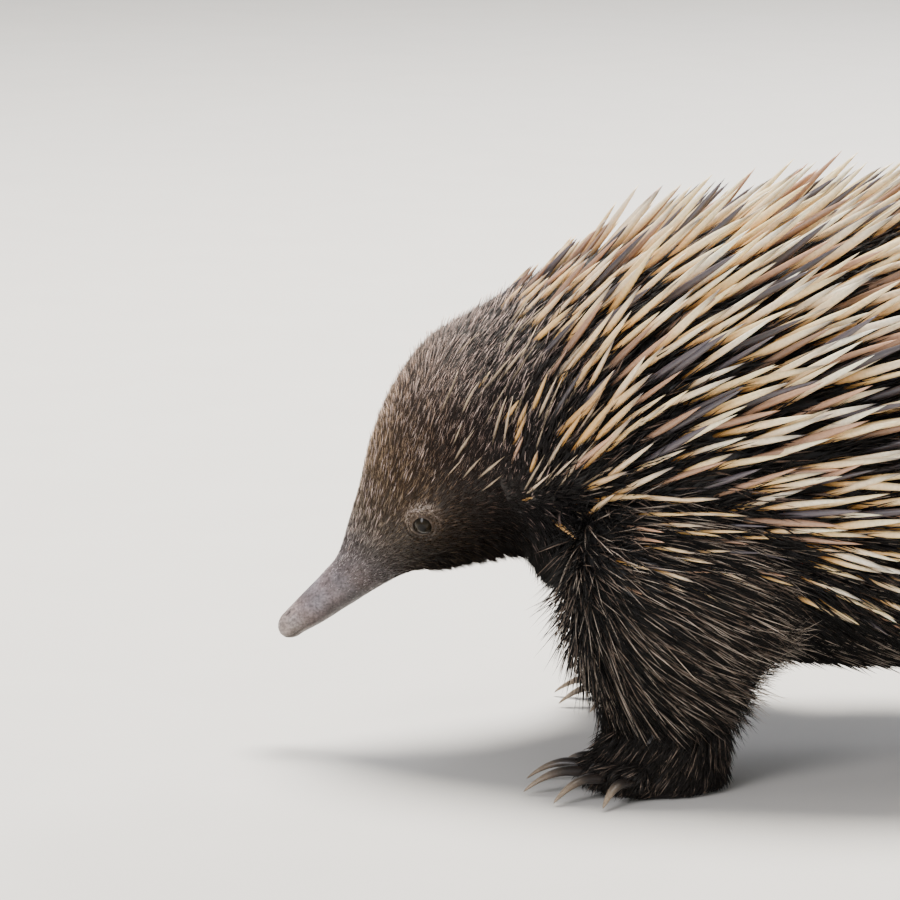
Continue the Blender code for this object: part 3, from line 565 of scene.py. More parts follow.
def toe_ends(kind, side):
    """Where each toe ends, the way it points, and its claw's length and width."""
    _, reach, half_length, half_width, fan, claws = FEET[kind]
    ahead, _ = foot_axes(kind, side)
    ankle = LEGS[kind][0]
    for i, claw in enumerate(claws):
        turn = math.radians(fan * (i - 2)) * -SIDES[side]
        way = np.array(Matrix.Rotation(turn, 3, "Z") @ Vector(ahead))
        out = reach + math.hypot(half_length * math.cos(turn), half_width * math.sin(turn)) + TOE_REACH
        place = mm(ankle[0] + STEP[f"{kind}_{side}"], SIDES[side] * ankle[1], 0)
        yield place + (way * out + np.array((0, 0, TOE_HEIGHT))) * MM, way, claw


def leg_place(kind, side):
    """How a leg is rolled: a closed sole, the leg, and a closed top inside the body."""

    def place(share, angle):
        row = np.rint(share * LEG_ROWS)
        v = -1 + (LEG_TOP + 1) * np.clip((row - 1) / (LEG_ROWS - 2), 0, 1)
        points = leg_surface(kind, side, v, angle, look_up(LEG_COAT_DEPTH, v))
        for end in (0, LEG_ROWS):
            points[row == end] = points[row == end].mean(axis=0)
        return points

    return place


def toe_place(end, way):
    """How a toe is rolled: a round bar with a domed end, a little flat from above."""
    across = np.array((-way[1], way[0], 0.0))

    def place(share, angle):
        dome = np.clip((share - TOE_DOME) / (1 - TOE_DOME), 0, 1)
        size = np.sqrt(1 - dome**2) * np.clip(share / TOE_ROOT, 0, 1)
        middle = end + np.outer(share - 1, way) * TOE_LENGTH * MM
        middle[:, 2] += TOE_ARCH * MM * np.sin(np.pi * share)
        ring = np.outer(np.cos(angle), across) + np.outer(np.sin(angle), (0, 0, TOE_FLAT))
        return middle + ring * (size * TOE_RADIUS * MM)[:, None]

    return place


def leg_skin(kind, side):
    heap = rolled(LEG_ROWS, LEG_ROUND, leg_place(kind, side))
    mesh = bpy.data.meshes.new("leg")
    for end, way, _ in toe_ends(kind, side):
        toe = rolled(TOE_ROWS, TOE_ROUND, toe_place(end, way))
        toe.to_mesh(mesh)
        toe.free()
        heap.from_mesh(mesh)
    leg = add_piece("leg", heap)
    remesh = leg.modifiers.new("wax", "REMESH")
    remesh.mode, remesh.voxel_size = "VOXEL", LEG_VOXEL * MM
    bm = bmesh.new()
    bm.from_mesh(shaped(leg))
    soften(bm, bm.verts, LEG_SMOOTHING)
    for vert in bm.verts:
        vert.co.z = max(vert.co.z, OVER_FLOOR)
    print(kind, side, len(bm.faces), "faces")
    return add_piece(f"{kind}_{side}_skin", bm)


# %% [markdown]
# ## One skin
#
# A Boolean union cuts away what lies inside and leaves one closed surface. Where a leg meets the body the
# union leaves a sharp crease, so the vertices next to sharp edges are smoothed there, as skin stretches over
# a joint.

# %% Fuse the legs to the body
CREASE, CREASE_REACH, CREASE_PASSES = math.radians(22), 3, 10
# Creases are smoothed above the feet and behind the neck, in millimetres up and behind the beak
CREASE_ABOVE, CREASE_BEHIND = 28, 100

trunk_piece = add_piece("skin", body)
legs_group = bpy.data.collections.new("legs")
for kind in LEGS:
    for side in SIDES:
        legs_group.objects.link(leg_skin(kind, side))
union = trunk_piece.modifiers.new("fuse", "BOOLEAN")
union.operation, union.operand_type, union.solver = "UNION", "COLLECTION", "MANIFOLD"
union.collection = legs_group
skin_bm = bmesh.new()
skin_bm.from_mesh(shaped(trunk_piece))
for leg in list(legs_group.objects):
    bpy.data.objects.remove(leg)
creases = {
    vert
    for edge in skin_bm.edges
    if edge.is_manifold and edge.calc_face_angle() > CREASE
    for vert in edge.verts
    if vert.co.z > CREASE_ABOVE * MM and vert.co.x > mm(CREASE_BEHIND, 0, 0)[0]
}
for _ in range(CREASE_REACH):
    creases |= {edge.other_vert(vert) for vert in creases for edge in vert.link_edges}
soften(skin_bm, list(creases), CREASE_PASSES)
bmesh.ops.triangulate(skin_bm, faces=skin_bm.faces)
skin_bm.normal_update()
open_edges = sum(not edge.is_manifold for edge in skin_bm.edges)
print("skin:", len(skin_bm.faces), "triangles,", open_edges, "open edges,", len(creases), "vertices smoothed")
skin = add_piece("skin", skin_bm)

# %% [markdown]
# ## Guides for the coat
#
# Hair and spines have to know where on the animal they grow: how far back, how far round, on which leg, and
# which way the coat lies there. Some twenty thousand guide points carry that, read from rings and ovals, and
# each root asks its nearest guide. The alternative, painting these by hand, would not follow the body when
# it changes.

# %% Lay out the guides
TRUNK, LEG_NAMES = 0, [f"{kind}_{side}" for kind in LEGS for side in SIDES]
guides = {key: [] for key in ("point", "along", "around", "kind", "a", "b")}


def add_guides(kind, surface, a, b, steps):
    """Guides of one form. a runs along it and b round it, and steps are how far slopes are read."""
    a, b = (grid.ravel() for grid in np.meshgrid(a, b, indexing="ij"))
    guides["point"].append(surface(a, b))
    guides["along"].append((surface(a + steps[0], b) - surface(a - steps[0], b)) / (2 * steps[0]))
    guides["around"].append((surface(a, b + steps[1]) - surface(a, b - steps[1])) / (2 * steps[1]))
    guides["kind"].append(np.full(len(a), kind))
    guides["a"].append(a)
    guides["b"].append(b)


add_guides(
    TRUNK,
    lambda t, degrees: trunk(t, degrees, -coat_depth(t, degrees)),
    np.arange(-0.9, 20.95, 0.1),
    np.arange(0, 360, 5.0),
    (SLOPE_STEP, SLOPE_TURN),
)
for number, name in enumerate(LEG_NAMES, 1):
    kind, side = name.split("_")
    add_guides(
        number,
        lambda v, angle, kind=kind, side=side: leg_surface(kind, side, v, angle, look_up(LEG_COAT_DEPTH, v)),
        np.arange(-0.95, 5.0, 0.12),
        np.arange(0, math.tau, math.tau / 40),
        (0.02, 0.02),
    )
guides = {key: np.concatenate(rows) for key, rows in guides.items()}
guide_tree = KDTree(len(guides["point"]))
for number, point in enumerate(guides["point"]):
    guide_tree.insert(point, number)
guide_tree.balance()
print(len(guides["point"]), "guides")

# %% [markdown]
# ## Roots on the skin
#
# Roots are thrown at random over the skin's triangles, more where the hair is finer. Each root keeps its
# place, the skin's normal, its guide, and two numbers for how far along and round its form it lies.

# %% Throw roots over the skin
skin_mesh = skin.data
corner_points = np.zeros(len(skin_mesh.vertices) * 3, np.float32)
skin_mesh.vertices.foreach_get("co", corner_points)
corner_points = corner_points.reshape(-1, 3).astype(float)
corner_normals = np.array([vert.normal for vert in skin_mesh.vertices])
corners = np.zeros(len(skin_mesh.polygons) * 3, np.int32)
skin_mesh.polygons.foreach_get("vertices", corners)
corners = corners.reshape(-1, 3)
triangle_points = corner_points[corners]
first, second, third = triangle_points.transpose(1, 0, 2)
triangle_areas = np.linalg.norm(np.cross(second - first, third - first), axis=1)
triangle_areas /= 2 * MM**2
triangle_middles = triangle_points.mean(axis=1)
triangle_guides = np.array([guide_tree.find(middle)[1] for middle in triangle_middles])


class Roots:
    """Places on the skin with all that a coat asks about them."""

    def __init__(self, point, out, guide):
        self.point, self.out, self.guide = point, out, guide
        offset = point - guides["point"][guide]
        for name, way in (("a", guides["along"][guide]), ("b", guides["around"][guide])):
            step = (offset * way).sum(axis=1) / np.maximum((way * way).sum(axis=1), 1e-12)
            setattr(self, name, guides[name][guide] + step)
        self.kind = guides["kind"][guide]
        self.on_trunk = self.kind == TRUNK
        # Roots of the legs count as flank beside them, and roots of the body as thigh or upper arm
        self.t = np.where(self.on_trunk, self.a, 12.0)
        self.turn = np.where(self.on_trunk, from_top(self.b), 90.0)
        self.v = np.where(self.on_trunk, 3.0, self.a)
        self.along = unit(guides["along"][guide])

    def __len__(self):
        return len(self.point)

    def only(self, chosen):
        return Roots(self.point[chosen], self.out[chosen], self.guide[chosen])

    def halves(self):
        """The roots of the left side and of the right."""
        left = self.point[:, 1] < 0
        return {"left": self.only(left), "right": self.only(~left)}


def throw(density, chance):
    """Roots over the skin, with a density in roots per square millimetre for each triangle."""
    counts = chance.poisson(triangle_areas * density)
    chosen = np.repeat(np.arange(len(corners)), counts)
    weights = np.sqrt(chance.random(len(chosen)))
    second = chance.random(len(chosen)) * weights
    shares = np.stack((1 - weights, weights - second, second), axis=1)[..., None]
    point = (triangle_points[chosen] * shares).sum(axis=1)
    out = unit((corner_normals[corners[chosen]] * shares).sum(axis=1))
    return Roots(point, out, triangle_guides[chosen])


triangle_normals = unit(corner_normals[corners].mean(axis=1))
everywhere = Roots(triangle_middles, triangle_normals, triangle_guides)
print("skin area", round(triangle_areas.sum() / 100), "square cm")

# %% [markdown]
# ## Tufts
#
# A tuft is a thin closed spike: rings of three or more corners round a bent middle line, then a tip.
# Thousands of them are made at once, as one joined mesh from arrays, because a hair system would be lost
# when the model is exported. Each corner carries the colour of its place on the hair. The map named OFBake
# gives each tuft a small patch of its own, laid out as the skin under it is, so that colours can be baked
# later without muddling.

# %% Build spikes from arrays
PATCH, MAP_MARGIN = 0.003, 0.01  # shares of the map's side


def spread_over_map(roots):
    """Each root's place on an unwrap of the skin, fitted to the whole map: round the form, then along it."""
    place = np.stack((np.where(roots.on_trunk, roots.b / 360, roots.b / math.tau) % 1.0, roots.a), axis=1)
    low, high = place.min(axis=0), place.max(axis=0)
    return MAP_MARGIN + (place - low) / np.maximum(high - low, 1e-9) * (1 - 2 * MAP_MARGIN)


def grow(name, roots, way, bend, length, width, profile, colours, finish, sides=3, sink=0.1):
    """Spikes on roots. way is where each sets out, bend how it turns by the tip, as shares of its length.

    profile is pairs of place and width along the spike before its tip, colours one array for each ring and
    the tip, and sink how much of the length is under the skin.
    """
    count, steps = len(roots), [place for place, _ in profile]
    across = unit(np.cross(way, roots.out))
    above = unit(np.cross(across, way))
    length, width = length[:, None] * MM, width[:, None] * MM
    start = roots.point - way * length * sink

    def middle(share):
        return start + (way * share + bend * share**2) * length * (1 + sink)

    angles = np.arange(sides) * math.tau / sides
    rings = []
    spokes = [across * math.cos(a) + above * math.sin(a) for a in angles]
    for place, size in profile:
        rings.append(np.stack([middle(place) + spoke * width * size / 2 for spoke in spokes], axis=1))
    points = np.concatenate((*rings, middle(1.0)[:, None]), axis=1)
    points[..., 2] = np.maximum(points[..., 2], OVER_FLOOR)  # what reaches the floor lies down on it
    rows, each = len(profile), len(profile) * sides + 1
    quads = [
        (r * sides + k, r * sides + (k + 1) % sides, (r + 1) * sides + (k + 1) % sides, (r + 1) * sides + k)
        for r in range(rows - 1)
        for k in range(sides)
    ]
    ends = [((rows - 1) * sides + k, (rows - 1) * sides + (k + 1) % sides, each - 1) for k in range(sides)]
    faces = [tuple(reversed(range(sides))), *quads, *ends]
    pattern = np.concatenate([np.array(face) for face in faces])
    sizes = [len(face) for face in faces]
    loops = (pattern[None] + np.arange(count)[:, None] * each).ravel()
    starts = np.concatenate(([0], np.cumsum(np.tile(sizes, count))[:-1]))
    mesh = bpy.data.meshes.new(name)
    mesh.vertices.add(count * each)
    mesh.vertices.foreach_set("co", points.reshape(-1).astype(np.float32))
    mesh.loops.add(len(loops))
    mesh.loops.foreach_set("vertex_index", loops.astype(np.int32))
    mesh.polygons.add(len(starts))
    mesh.polygons.foreach_set("loop_start", starts.astype(np.int32))
    mesh.update(calc_edges=True)
    shades = np.concatenate([np.repeat(colour[:, None], sides, axis=1) for colour in colours[:-1]], axis=1)
    paint_points(mesh, np.concatenate((shades, colours[-1][:, None]), axis=1).reshape(-1, 3))
    spread = [((k + 0.5) / sides - 0.5, step - 0.5) for step in steps for k in range(sides)] + [(0.0, 0.5)]
    patch = spread_over_map(roots)[:, None] + np.array(spread)[None] * PATCH
    bake_map = mesh.uv_layers.new(name="OFBake")
    bake_map.data.foreach_set("uv", patch.reshape(-1, 2)[loops].reshape(-1).astype(np.float32))
    piece = add_piece(name, mesh, finish)
    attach(piece, "root")
    print(f"{name}: {count} spikes, {count * (2 * sides * rows - 2)} triangles")


# %% [markdown]
# ## Finishes
#
# Five natural materials: bare leathery skin, hair, the hard keratin of the spines, the horn of the claws,
# and the wet eye. Each reads the colours painted on the meshes and adds the fine unevenness of a real
# surface at its real scale. One small function adds a node with its settings and links.

# %% A node with its settings and links
def add_node(tree, kind, settings=None, **links):
    """A node of a material, with plain settings by name, and values or other nodes' sockets by input name."""
    made = tree.nodes.new(kind)
    for key, value in (settings or {}).items():
        setattr(made, key, value)
    for key, value in links.items():
        by_number = key[0] == "i" and key[1:].isdigit()
        socket = made.inputs[int(key[1:]) if by_number else key.replace("_", " ")]
        if isinstance(value, bpy.types.NodeSocket):
            tree.links.new(value, socket)
        else:
            socket.default_value = value
    return made


def new_finish(name, **values):
    """A material, its nodes and its shader, with the values that are the same all over the surface."""
    finish = bpy.data.materials.new(name)
    finish.use_nodes = True
    shader = finish.node_tree.nodes["Principled BSDF"]
    for key, value in values.items():
        shader.inputs[key.replace("_", " ")].default_value = value
    return finish, finish.node_tree, shader


def speckle(tree, size, detail, low, high):
    """Noise of a grain size in millimetres on the object's own coordinates, spread from low to high."""
    place = add_node(tree, "ShaderNodeTexCoord").outputs["Object"]
    grain = add_node(tree, "ShaderNodeTexNoise", Vector=place, Scale=1 / (size * MM), Detail=detail)
    found = {"From_Min": 0.3, "From_Max": 0.7}  # nearly all of such noise lies between these
    wanted = {"To_Min": low, "To_Max": high}
    spread = add_node(tree, "ShaderNodeMapRange", Value=grain.outputs["Fac"], **found, **wanted)
    return spread.outputs["Result"]


def painted(tree, *factors):
    """The colours painted on the mesh, multiplied by each factor."""
    colour = add_node(tree, "ShaderNodeAttribute", {"attribute_name": "coat"}).outputs["Color"]
    for factor in factors:
        scaled = add_node(tree, "ShaderNodeVectorMath", {"operation": "SCALE"}, i0=colour, Scale=factor)
        colour = scaled.outputs["Vector"]
    return colour


def make_finish(name, grain, gloss=None, **values):
    """A finish whose painted colours and roughness each vary by a speckle: size, detail, lowest, highest."""
    finish, tree, shader = new_finish(name, **values)
    tree.links.new(painted(tree, speckle(tree, *grain)), shader.inputs["Base Color"])
    if gloss:
        tree.links.new(speckle(tree, *gloss), shader.inputs["Roughness"])
    return finish


# %% [markdown]
# Hair of the echidna is coarse and barely glossy. Each strand is a shade lighter or darker than the next,
# and the gloss runs along it in broken glints, which a grain of half a millimetre gives.

# %% Hair
HAIR_GRAIN, HAIR_GLOSS = (0.9, 2.0, 0.75, 1.3), (0.5, 1.0, 0.50, 0.72)
HAIR = make_finish("coarse guard hair", HAIR_GRAIN, HAIR_GLOSS, IOR=1.55, Specular_IOR_Level=0.28)
print("finish:", HAIR.name)

# %% [markdown]
# Spines are hollow hairs of hard keratin, smooth and waxy. Light sinks a little into the cream parts. A
# grain of little more than a millimetre gives the faint cloudiness of worn quills, and a low roughness their
# polish.

# %% Keratin of the spines
KERATIN_GRAIN, KERATIN_GLOSS = (1.3, 3.0, 0.86, 1.1), (2.0, 2.0, 0.30, 0.44)
LIGHT_SINKS = {"Subsurface_Weight": 0.08, "Subsurface_Radius": (0.004, 0.002, 0.001)}
KERATIN = make_finish("polished spine keratin", KERATIN_GRAIN, KERATIN_GLOSS, IOR=1.54, **LIGHT_SINKS)
print("finish:", KERATIN.name)

# %% [markdown]
# The beak is bare skin over bone: leathery, finely wrinkled and mottled where dust and scratches lie on it.
# Under the fur the same skin is dark. Pores about 0.7 mm apart and soft wrinkles of 2 mm are relief, not
# colour.

# %% Leathery skin
def make_leather():
    finish, tree, shader = new_finish("leathery skin")
    mottle = speckle(tree, 4.5, 4.0, 0.62, 1.44)
    grains = speckle(tree, 0.9, 2.0, 0.56, 1.50)
    patches = speckle(tree, 9.0, 2.0, 0.0, 1.0)
    warm, cool = (1.07, 0.97, 0.96, 1.0), (0.91, 0.99, 1.08, 1.0)
    cast = add_node(tree, "ShaderNodeMix", {"data_type": "RGBA"}, i0=patches, i6=warm, i7=cool).outputs[2]
    plain = painted(tree, mottle, grains)
    tinted = add_node(tree, "ShaderNodeVectorMath", {"operation": "MULTIPLY"}, i0=plain, i1=cast).outputs[0]
    tree.links.new(tinted, shader.inputs["Base Color"])
    tree.links.new(speckle(tree, 1.5, 3.0, 0.40, 0.62), shader.inputs["Roughness"])
    place, pore, fold = add_node(tree, "ShaderNodeTexCoord").outputs["Object"], 0.7 * MM, 2.0 * MM
    pores = add_node(tree, "ShaderNodeTexVoronoi", Vector=place, Scale=1 / pore).outputs["Distance"]
    folds = add_node(tree, "ShaderNodeTexNoise", Vector=place, Scale=1 / fold, Detail=3.0).outputs["Fac"]
    height = add_node(tree, "ShaderNodeMath", {"operation": "MULTIPLY_ADD"}, i0=pores, i1=0.35, i2=folds)
    bump = add_node(tree, "ShaderNodeBump", Height=height.outputs[0], Strength=0.6, Distance=0.3 * MM)
    tree.links.new(bump.outputs["Normal"], shader.inputs["Normal"])
    return finish


LEATHER = make_leather()
print("finish:", LEATHER.name)

# %% [markdown]
# Claws are layered horn, dark and stained with soil at the root and worn pale towards the tip. A grain of a
# millimetre gives their scuffs.

# %% Claw horn
HORN = make_finish("worn claw horn", (1.0, 4.0, 0.75, 1.25), (0.8, 2.0, 0.32, 0.5), IOR=1.54)
print("finish:", HORN.name)

# %% [markdown]
# The eye is a small wet bead, almost black, with a brown iris that only shows in strong light. It lies in
# the shade of its lids, so its gloss is held low and leaves one small catch light.

# %% Wet eye
EYE = make_finish("wet eye", (0.3, 2.0, 0.8, 1.2), Roughness=0.14, IOR=1.38, Specular_IOR_Level=0.25)
print("finish:", EYE.name)

# %% [markdown]
# ## The markings
#
# The beak is a dusty grey brown. Fur starts short and grizzled behind it, warms to brown on the brow, and
# darkens to black on the throat and under the spines. The darkening towards the throat and belly is partly
# the fur's own colour and partly painted shade. Skin and coat both read these markings, so that no bare light
# skin shows between the hairs.

# %% Colours by place
# Place on the ring count, colour of a hair's root, colour of its tip
# The mauve cast of the rows at the beak's root and the nape is painted sky reflection over the fur's colours
HEAD_COLOURS = (
    (1.8, "#6d6463", "#cbc0bf"),
    (2.8, "#4d4544", "#d3c8c7"),
    (3.6, "#332c2a", "#c8bdba"),
    (4.6, "#33291f", "#ae9c87"),
    (5.8, "#3b2c1e", "#b99b78"),
    (7.2, "#2b1f17", "#b89982"),
    (8.4, "#201814", "#b89d92"),
    (9.4, "#191311", "#a48f87"),
    (10.6, "#110e0c", "#5c4c42"),
    (20.0, "#110e0c", "#5c4a3e"),
)
LEG_COLOURS = (
    (-1.0, "#1c1713", "#6d6056"),
    (0.0, "#13100d", "#6a5c51"),
    (1.0, "#0d0b09", "#736459"),
    (5.0, "#0b0908", "#62544a"),
)
BEAK_COLOUR, BEAK_TIP_COLOUR = linear("#6c6263"), linear("#83766f")
# Fur darkens by degrees from the top: partly the fur's own dark colour, partly painted shade underneath
UNDERSIDE_DARK_AND_SHADE = ((0.0, 1.0), (60.0, 1.0), (85.0, 0.88), (112.0, 0.50), (145.0, 0.18), (180.0, 0.14))


def by_place(stops, place, which):
    """A colour that runs through stops, which are a place and then one or two colours."""
    colours = np.array([linear(stop[which]) for stop in stops])
    return np.stack([np.interp(place, [stop[0] for stop in stops], colours[:, k]) for k in range(3)], axis=-1)


# The radius of the pale ring, how far back and up its middle is, and its hairs' colour
EYE_RING, EYE_RING_MIDDLE, EYE_RING_COLOUR = 5.7, (1.3, 0.7), linear("#d8cdc6")
# How much of its tips take that colour, and how much paler its roots are
EYE_RING_TIPS, EYE_RING_ROOTS = 0.85, 1.2


def eye_ring(points):
    """How much each point belongs to the pale ring of either eye, about 1 on the ring's upper part."""
    ring = np.zeros(len(points))
    for side in SIDES:
        spots = seen_from(points, face_frame(EYE_PLACE, side))
        across = spots[:, :2] - EYE_RING_MIDDLE
        bearing = np.arctan2(across[:, 1], across[:, 0])
        above = 0.52 + 0.48 * np.sin(bearing + 0.5)
        radius = EYE_RING * (1 + 0.07 * np.sin(bearing * 3 + 1.0))
        ring += above * np.exp(-(((np.hypot(*across.T) - radius) / (1.0 + above)) ** 2))
    return ring


def markings(roots):
    """The colours of a hair's root and tip at each root."""
    found = []
    for which in (1, 2):
        head = by_place(HEAD_COLOURS, roots.t, which)
        # darker towards the underside: partly the fur's own colour, partly painted shade
        shade = 1 + (look_up(UNDERSIDE_DARK_AND_SHADE, roots.turn) - 1) * ease(3.5, 5.0, roots.t)
        head = head * shade[:, None]
        leg = by_place(LEG_COLOURS, roots.v, which)
        found.append(np.where(roots.on_trunk[:, None], head, leg))
    pale = (EYE_RING_TIPS * np.minimum(eye_ring(roots.point), 1))[:, None]
    return found[0] * (1 + EYE_RING_ROOTS * pale), found[1] * (1 - pale) + EYE_RING_COLOUR * pale


# %% Paint the skin
# How much darker the beak is underneath, which is painted shade, at its root and at the lips, what the
# painted shade underneath lacks of red, green and blue, how dark the painted shade in the slits and hollows
# is, and how pale the edge of the lids
UNDER_PAINTED_SHADE, ROOT_DARK, LIPS_DARK, UNDER_SHADE_TINT = 0.60, 0.20, 0.25, (0.0, 0.06, 0.12)
SLIT_SHADE, HOLLOW_PAINTED_SHADE, LID_PALE = 0.8, 0.85, 0.6
UNDER_FUR = 0.9  # the skin under the fur, as a share of the hairs' root colour
vertex_guides = np.array([guide_tree.find(point)[1] for point in corner_points])
skin_roots = Roots(corner_points, corner_normals, vertex_guides)
root_colour, _ = markings(skin_roots)
tip_mix = np.clip(skin_roots.t, 0, 1)[:, None]
bare = (1 - ease(2.0, 4.0, skin_roots.t)) * skin_roots.on_trunk
beak = BEAK_TIP_COLOUR * (1 - tip_mix) + BEAK_COLOUR * tip_mix
# Painted shade under the beak, deepest and browner at its lowest part
below = ease(84, 128, skin_roots.turn)
lips = 1 - ease(-0.9, 0.3, skin_roots.t)
beak = beak * (1 - UNDER_PAINTED_SHADE * below - ROOT_DARK * bell(skin_roots.t, 2.6, 0.5) - LIPS_DARK * lips)[:, None]
beak = beak * (1 - below[:, None] * UNDER_SHADE_TINT)
paint = root_colour * UNDER_FUR * (1 - bare[:, None]) + beak * bare[:, None]
# Painted shade in the slits of ears, nostrils and mouth, and in the eye's socket
painted_slit_shade = np.zeros(len(corner_points))
for side in SIDES:
    for place, opening in ((EAR_PLACE, EAR_OPENING), (NOSTRIL_PLACE, NOSTRIL_OPENING)):
        oval = oval_in(seen_from(corner_points, face_frame(place, side)), opening)
        painted_slit_shade = np.maximum(painted_slit_shade, SLIT_SHADE * np.exp(-(oval**4)))
    oval = oval_in(seen_from(corner_points, face_frame(EYE_PLACE, side)), EYE_OPENING)
    painted_slit_shade = np.maximum(painted_slit_shade, SLIT_SHADE * np.exp(-((oval / 0.98) ** 8)))
    paint = paint * (1 + LID_PALE * bell(oval, 1.16, 0.12))[:, None]
painted_slit_shade = np.maximum(painted_slit_shade, np.clip(-mouth_relief(corner_points) / 0.5, 0, 1) * SLIT_SHADE)
paint_points(skin_mesh, paint * (1 - HOLLOW_PAINTED_SHADE * painted_slit_shade[:, None]))
skin_mesh.materials.append(LEATHER)
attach(skin, "root")
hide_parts("beak", "head", "neck", "torso", "tail")
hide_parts(*LEG_NAMES, *(name.replace("leg", "foot") for name in LEG_NAMES))
print("skin painted at", len(paint), "points")

# %% [markdown]
# ## Eyes
#
# Each eye is a ball with a slightly raised cornea, turned so that one pole points out of the head. The iris
# and the pupil are painted in rings round that pole.

# %% Two eyes
# Angles from the pole, and the colours there from pupil to white
EYE_SHADES = (
    (0.0, "#080706"),
    (0.26, "#0a0907"),
    (0.34, "#251f15"),
    (0.54, "#211c13"),
    (0.62, "#16130d"),
    (2.0, "#1c1812"),
)
EYE_SEAT = (-0.35, -0.25)  # how far back and up the ball sits in its lids, in millimetres
CORNEA_RISE, CORNEA_SIZE = 0.10, 0.55  # shares of the ball's radius


def add_eye(side):
    _, out, back, up = face_frame(EYE_PLACE, side)
    seat = back * EYE_SEAT[0] + up * EYE_SEAT[1] - out * (EYE_RADIUS - EYE_BULGE)
    centre = trunk(*on_side(EYE_PLACE, side)) + seat * MM
    bm = bmesh.new()
    bmesh.ops.create_uvsphere(bm, u_segments=48, v_segments=32, radius=EYE_RADIUS * MM)
    for vert in bm.verts:
        off_axis = math.hypot(vert.co.x, vert.co.y) / (EYE_RADIUS * MM)
        if vert.co.z > 0:
            vert.co.z += CORNEA_RISE * EYE_RADIUS * MM * math.exp(-((off_axis / CORNEA_SIZE) ** 4))
    off_axis = np.arccos(np.clip([vert.co.normalized().z for vert in bm.verts], -1.0, 1.0))
    shades = by_place(EYE_SHADES, off_axis, 1)
    turn = Matrix((back, up, out)).transposed().to_4x4()
    if turn.determinant() < 0:  # on one side these ways would mirror the ball
        turn = Matrix((-back, up, out)).transposed().to_4x4()
    bmesh.ops.transform(bm, matrix=Matrix.Translation(centre) @ turn, verts=bm.verts)
    bmesh.ops.recalc_face_normals(bm, faces=bm.faces)
    eye = add_piece(f"eyeball_{side}", bm, EYE)
    paint_points(eye.data, shades)
    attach(eye, "root")
    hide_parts(f"eye_{side}")
    print(eye.name, "at", np.round(centre, 4))


for side in SIDES:
    add_eye(side)

# %% [markdown]
# ## Claws
#
# The forefeet carry broad digging claws. On the hind feet the second and third claws are long and curved,
# for combing between the spines. A claw is a rolled tube that is flattened, bends down almost to the ground,
# and sits a little inside its toe.

# %% Twenty claws
CLAW_CLEARANCE, CLAW_TIP, CLAW_SINK, CLAW_ARCH = 0.8, 0.2, 2.5, 0.06
CLAW_ROWS, CLAW_ROUND = 24, 16
CLAW_TAPER, CLAW_CLOSING = 0.7, 60
CLAW_FLAT_ABOVE, CLAW_FLAT_BELOW = 0.66, 0.50
CLAW_ROOT_COLOUR, CLAW_TIP_COLOUR = linear("#2a231f"), linear("#8b7a66")


def claw_place(end, way, length, width):
    across = np.array((-way[1], way[0], 0.0))
    drop = end[2] / MM - CLAW_CLEARANCE - CLAW_TIP

    def place(share, angle):
        reach = (share * (length + CLAW_SINK) - CLAW_SINK) / length
        ahead = np.clip(reach, 0, 1)
        rise = CLAW_ARCH * length * 4 * ahead * (1 - ahead) - drop * ahead**2
        middle = end + (np.outer(reach * length, way) + np.outer(rise, (0, 0, 1))) * MM
        closed = np.clip(np.minimum(share, 1 - share) * CLAW_CLOSING, 0, 1)
        size = (width / 2 * (1 - ahead) ** CLAW_TAPER + CLAW_TIP) * closed
        slope = CLAW_ARCH * 4 * (1 - 2 * ahead) - 2 * drop / length * ahead
        up = unit(np.stack((-slope * way[0], -slope * way[1], np.ones_like(slope)), axis=1))
        flat = np.where(np.sin(angle) > 0, CLAW_FLAT_ABOVE, CLAW_FLAT_BELOW)
        ring = np.cos(angle)[:, None] * across + (np.sin(angle) * flat)[:, None] * up
        return middle + ring * size[:, None] * MM

    return place


for name in LEG_NAMES:
    kind, side = name.split("_")
    for number, (end, way, (length, width)) in enumerate(toe_ends(kind, side), 1):
        claw_bm = rolled(CLAW_ROWS, CLAW_ROUND, claw_place(end, way, length, width))
        reach = (np.array([vert.co for vert in claw_bm.verts]) - end) @ way / (length * MM)
        worn = ease(0.25, 1.0, reach)[:, None]
        claw = add_piece(f"horn_{kind[:4]}_{side}_{number}", claw_bm, HORN)
        paint_points(claw.data, CLAW_ROOT_COLOUR * (1 - worn) + CLAW_TIP_COLOUR * worn)
        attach(claw, "root")
        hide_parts(f"claw_{kind[:4]}_{side}_{number}")

# %% [markdown]
# ## Which way the coat lies
#
# Seen from the side, hair and spines run up over the cheek and the neck, straight back over the shoulder and
# down the flank, as a current flows. That current is a table of slopes read off the photograph, by how far
# back and how far round the body a root is. Behind the shoulder the coat follows the body itself. On the
# legs it streams back and down, steeply at their front edge, and round the eyes it parts as water does round
# a stone. Lift is how far a hair then stands off the skin.

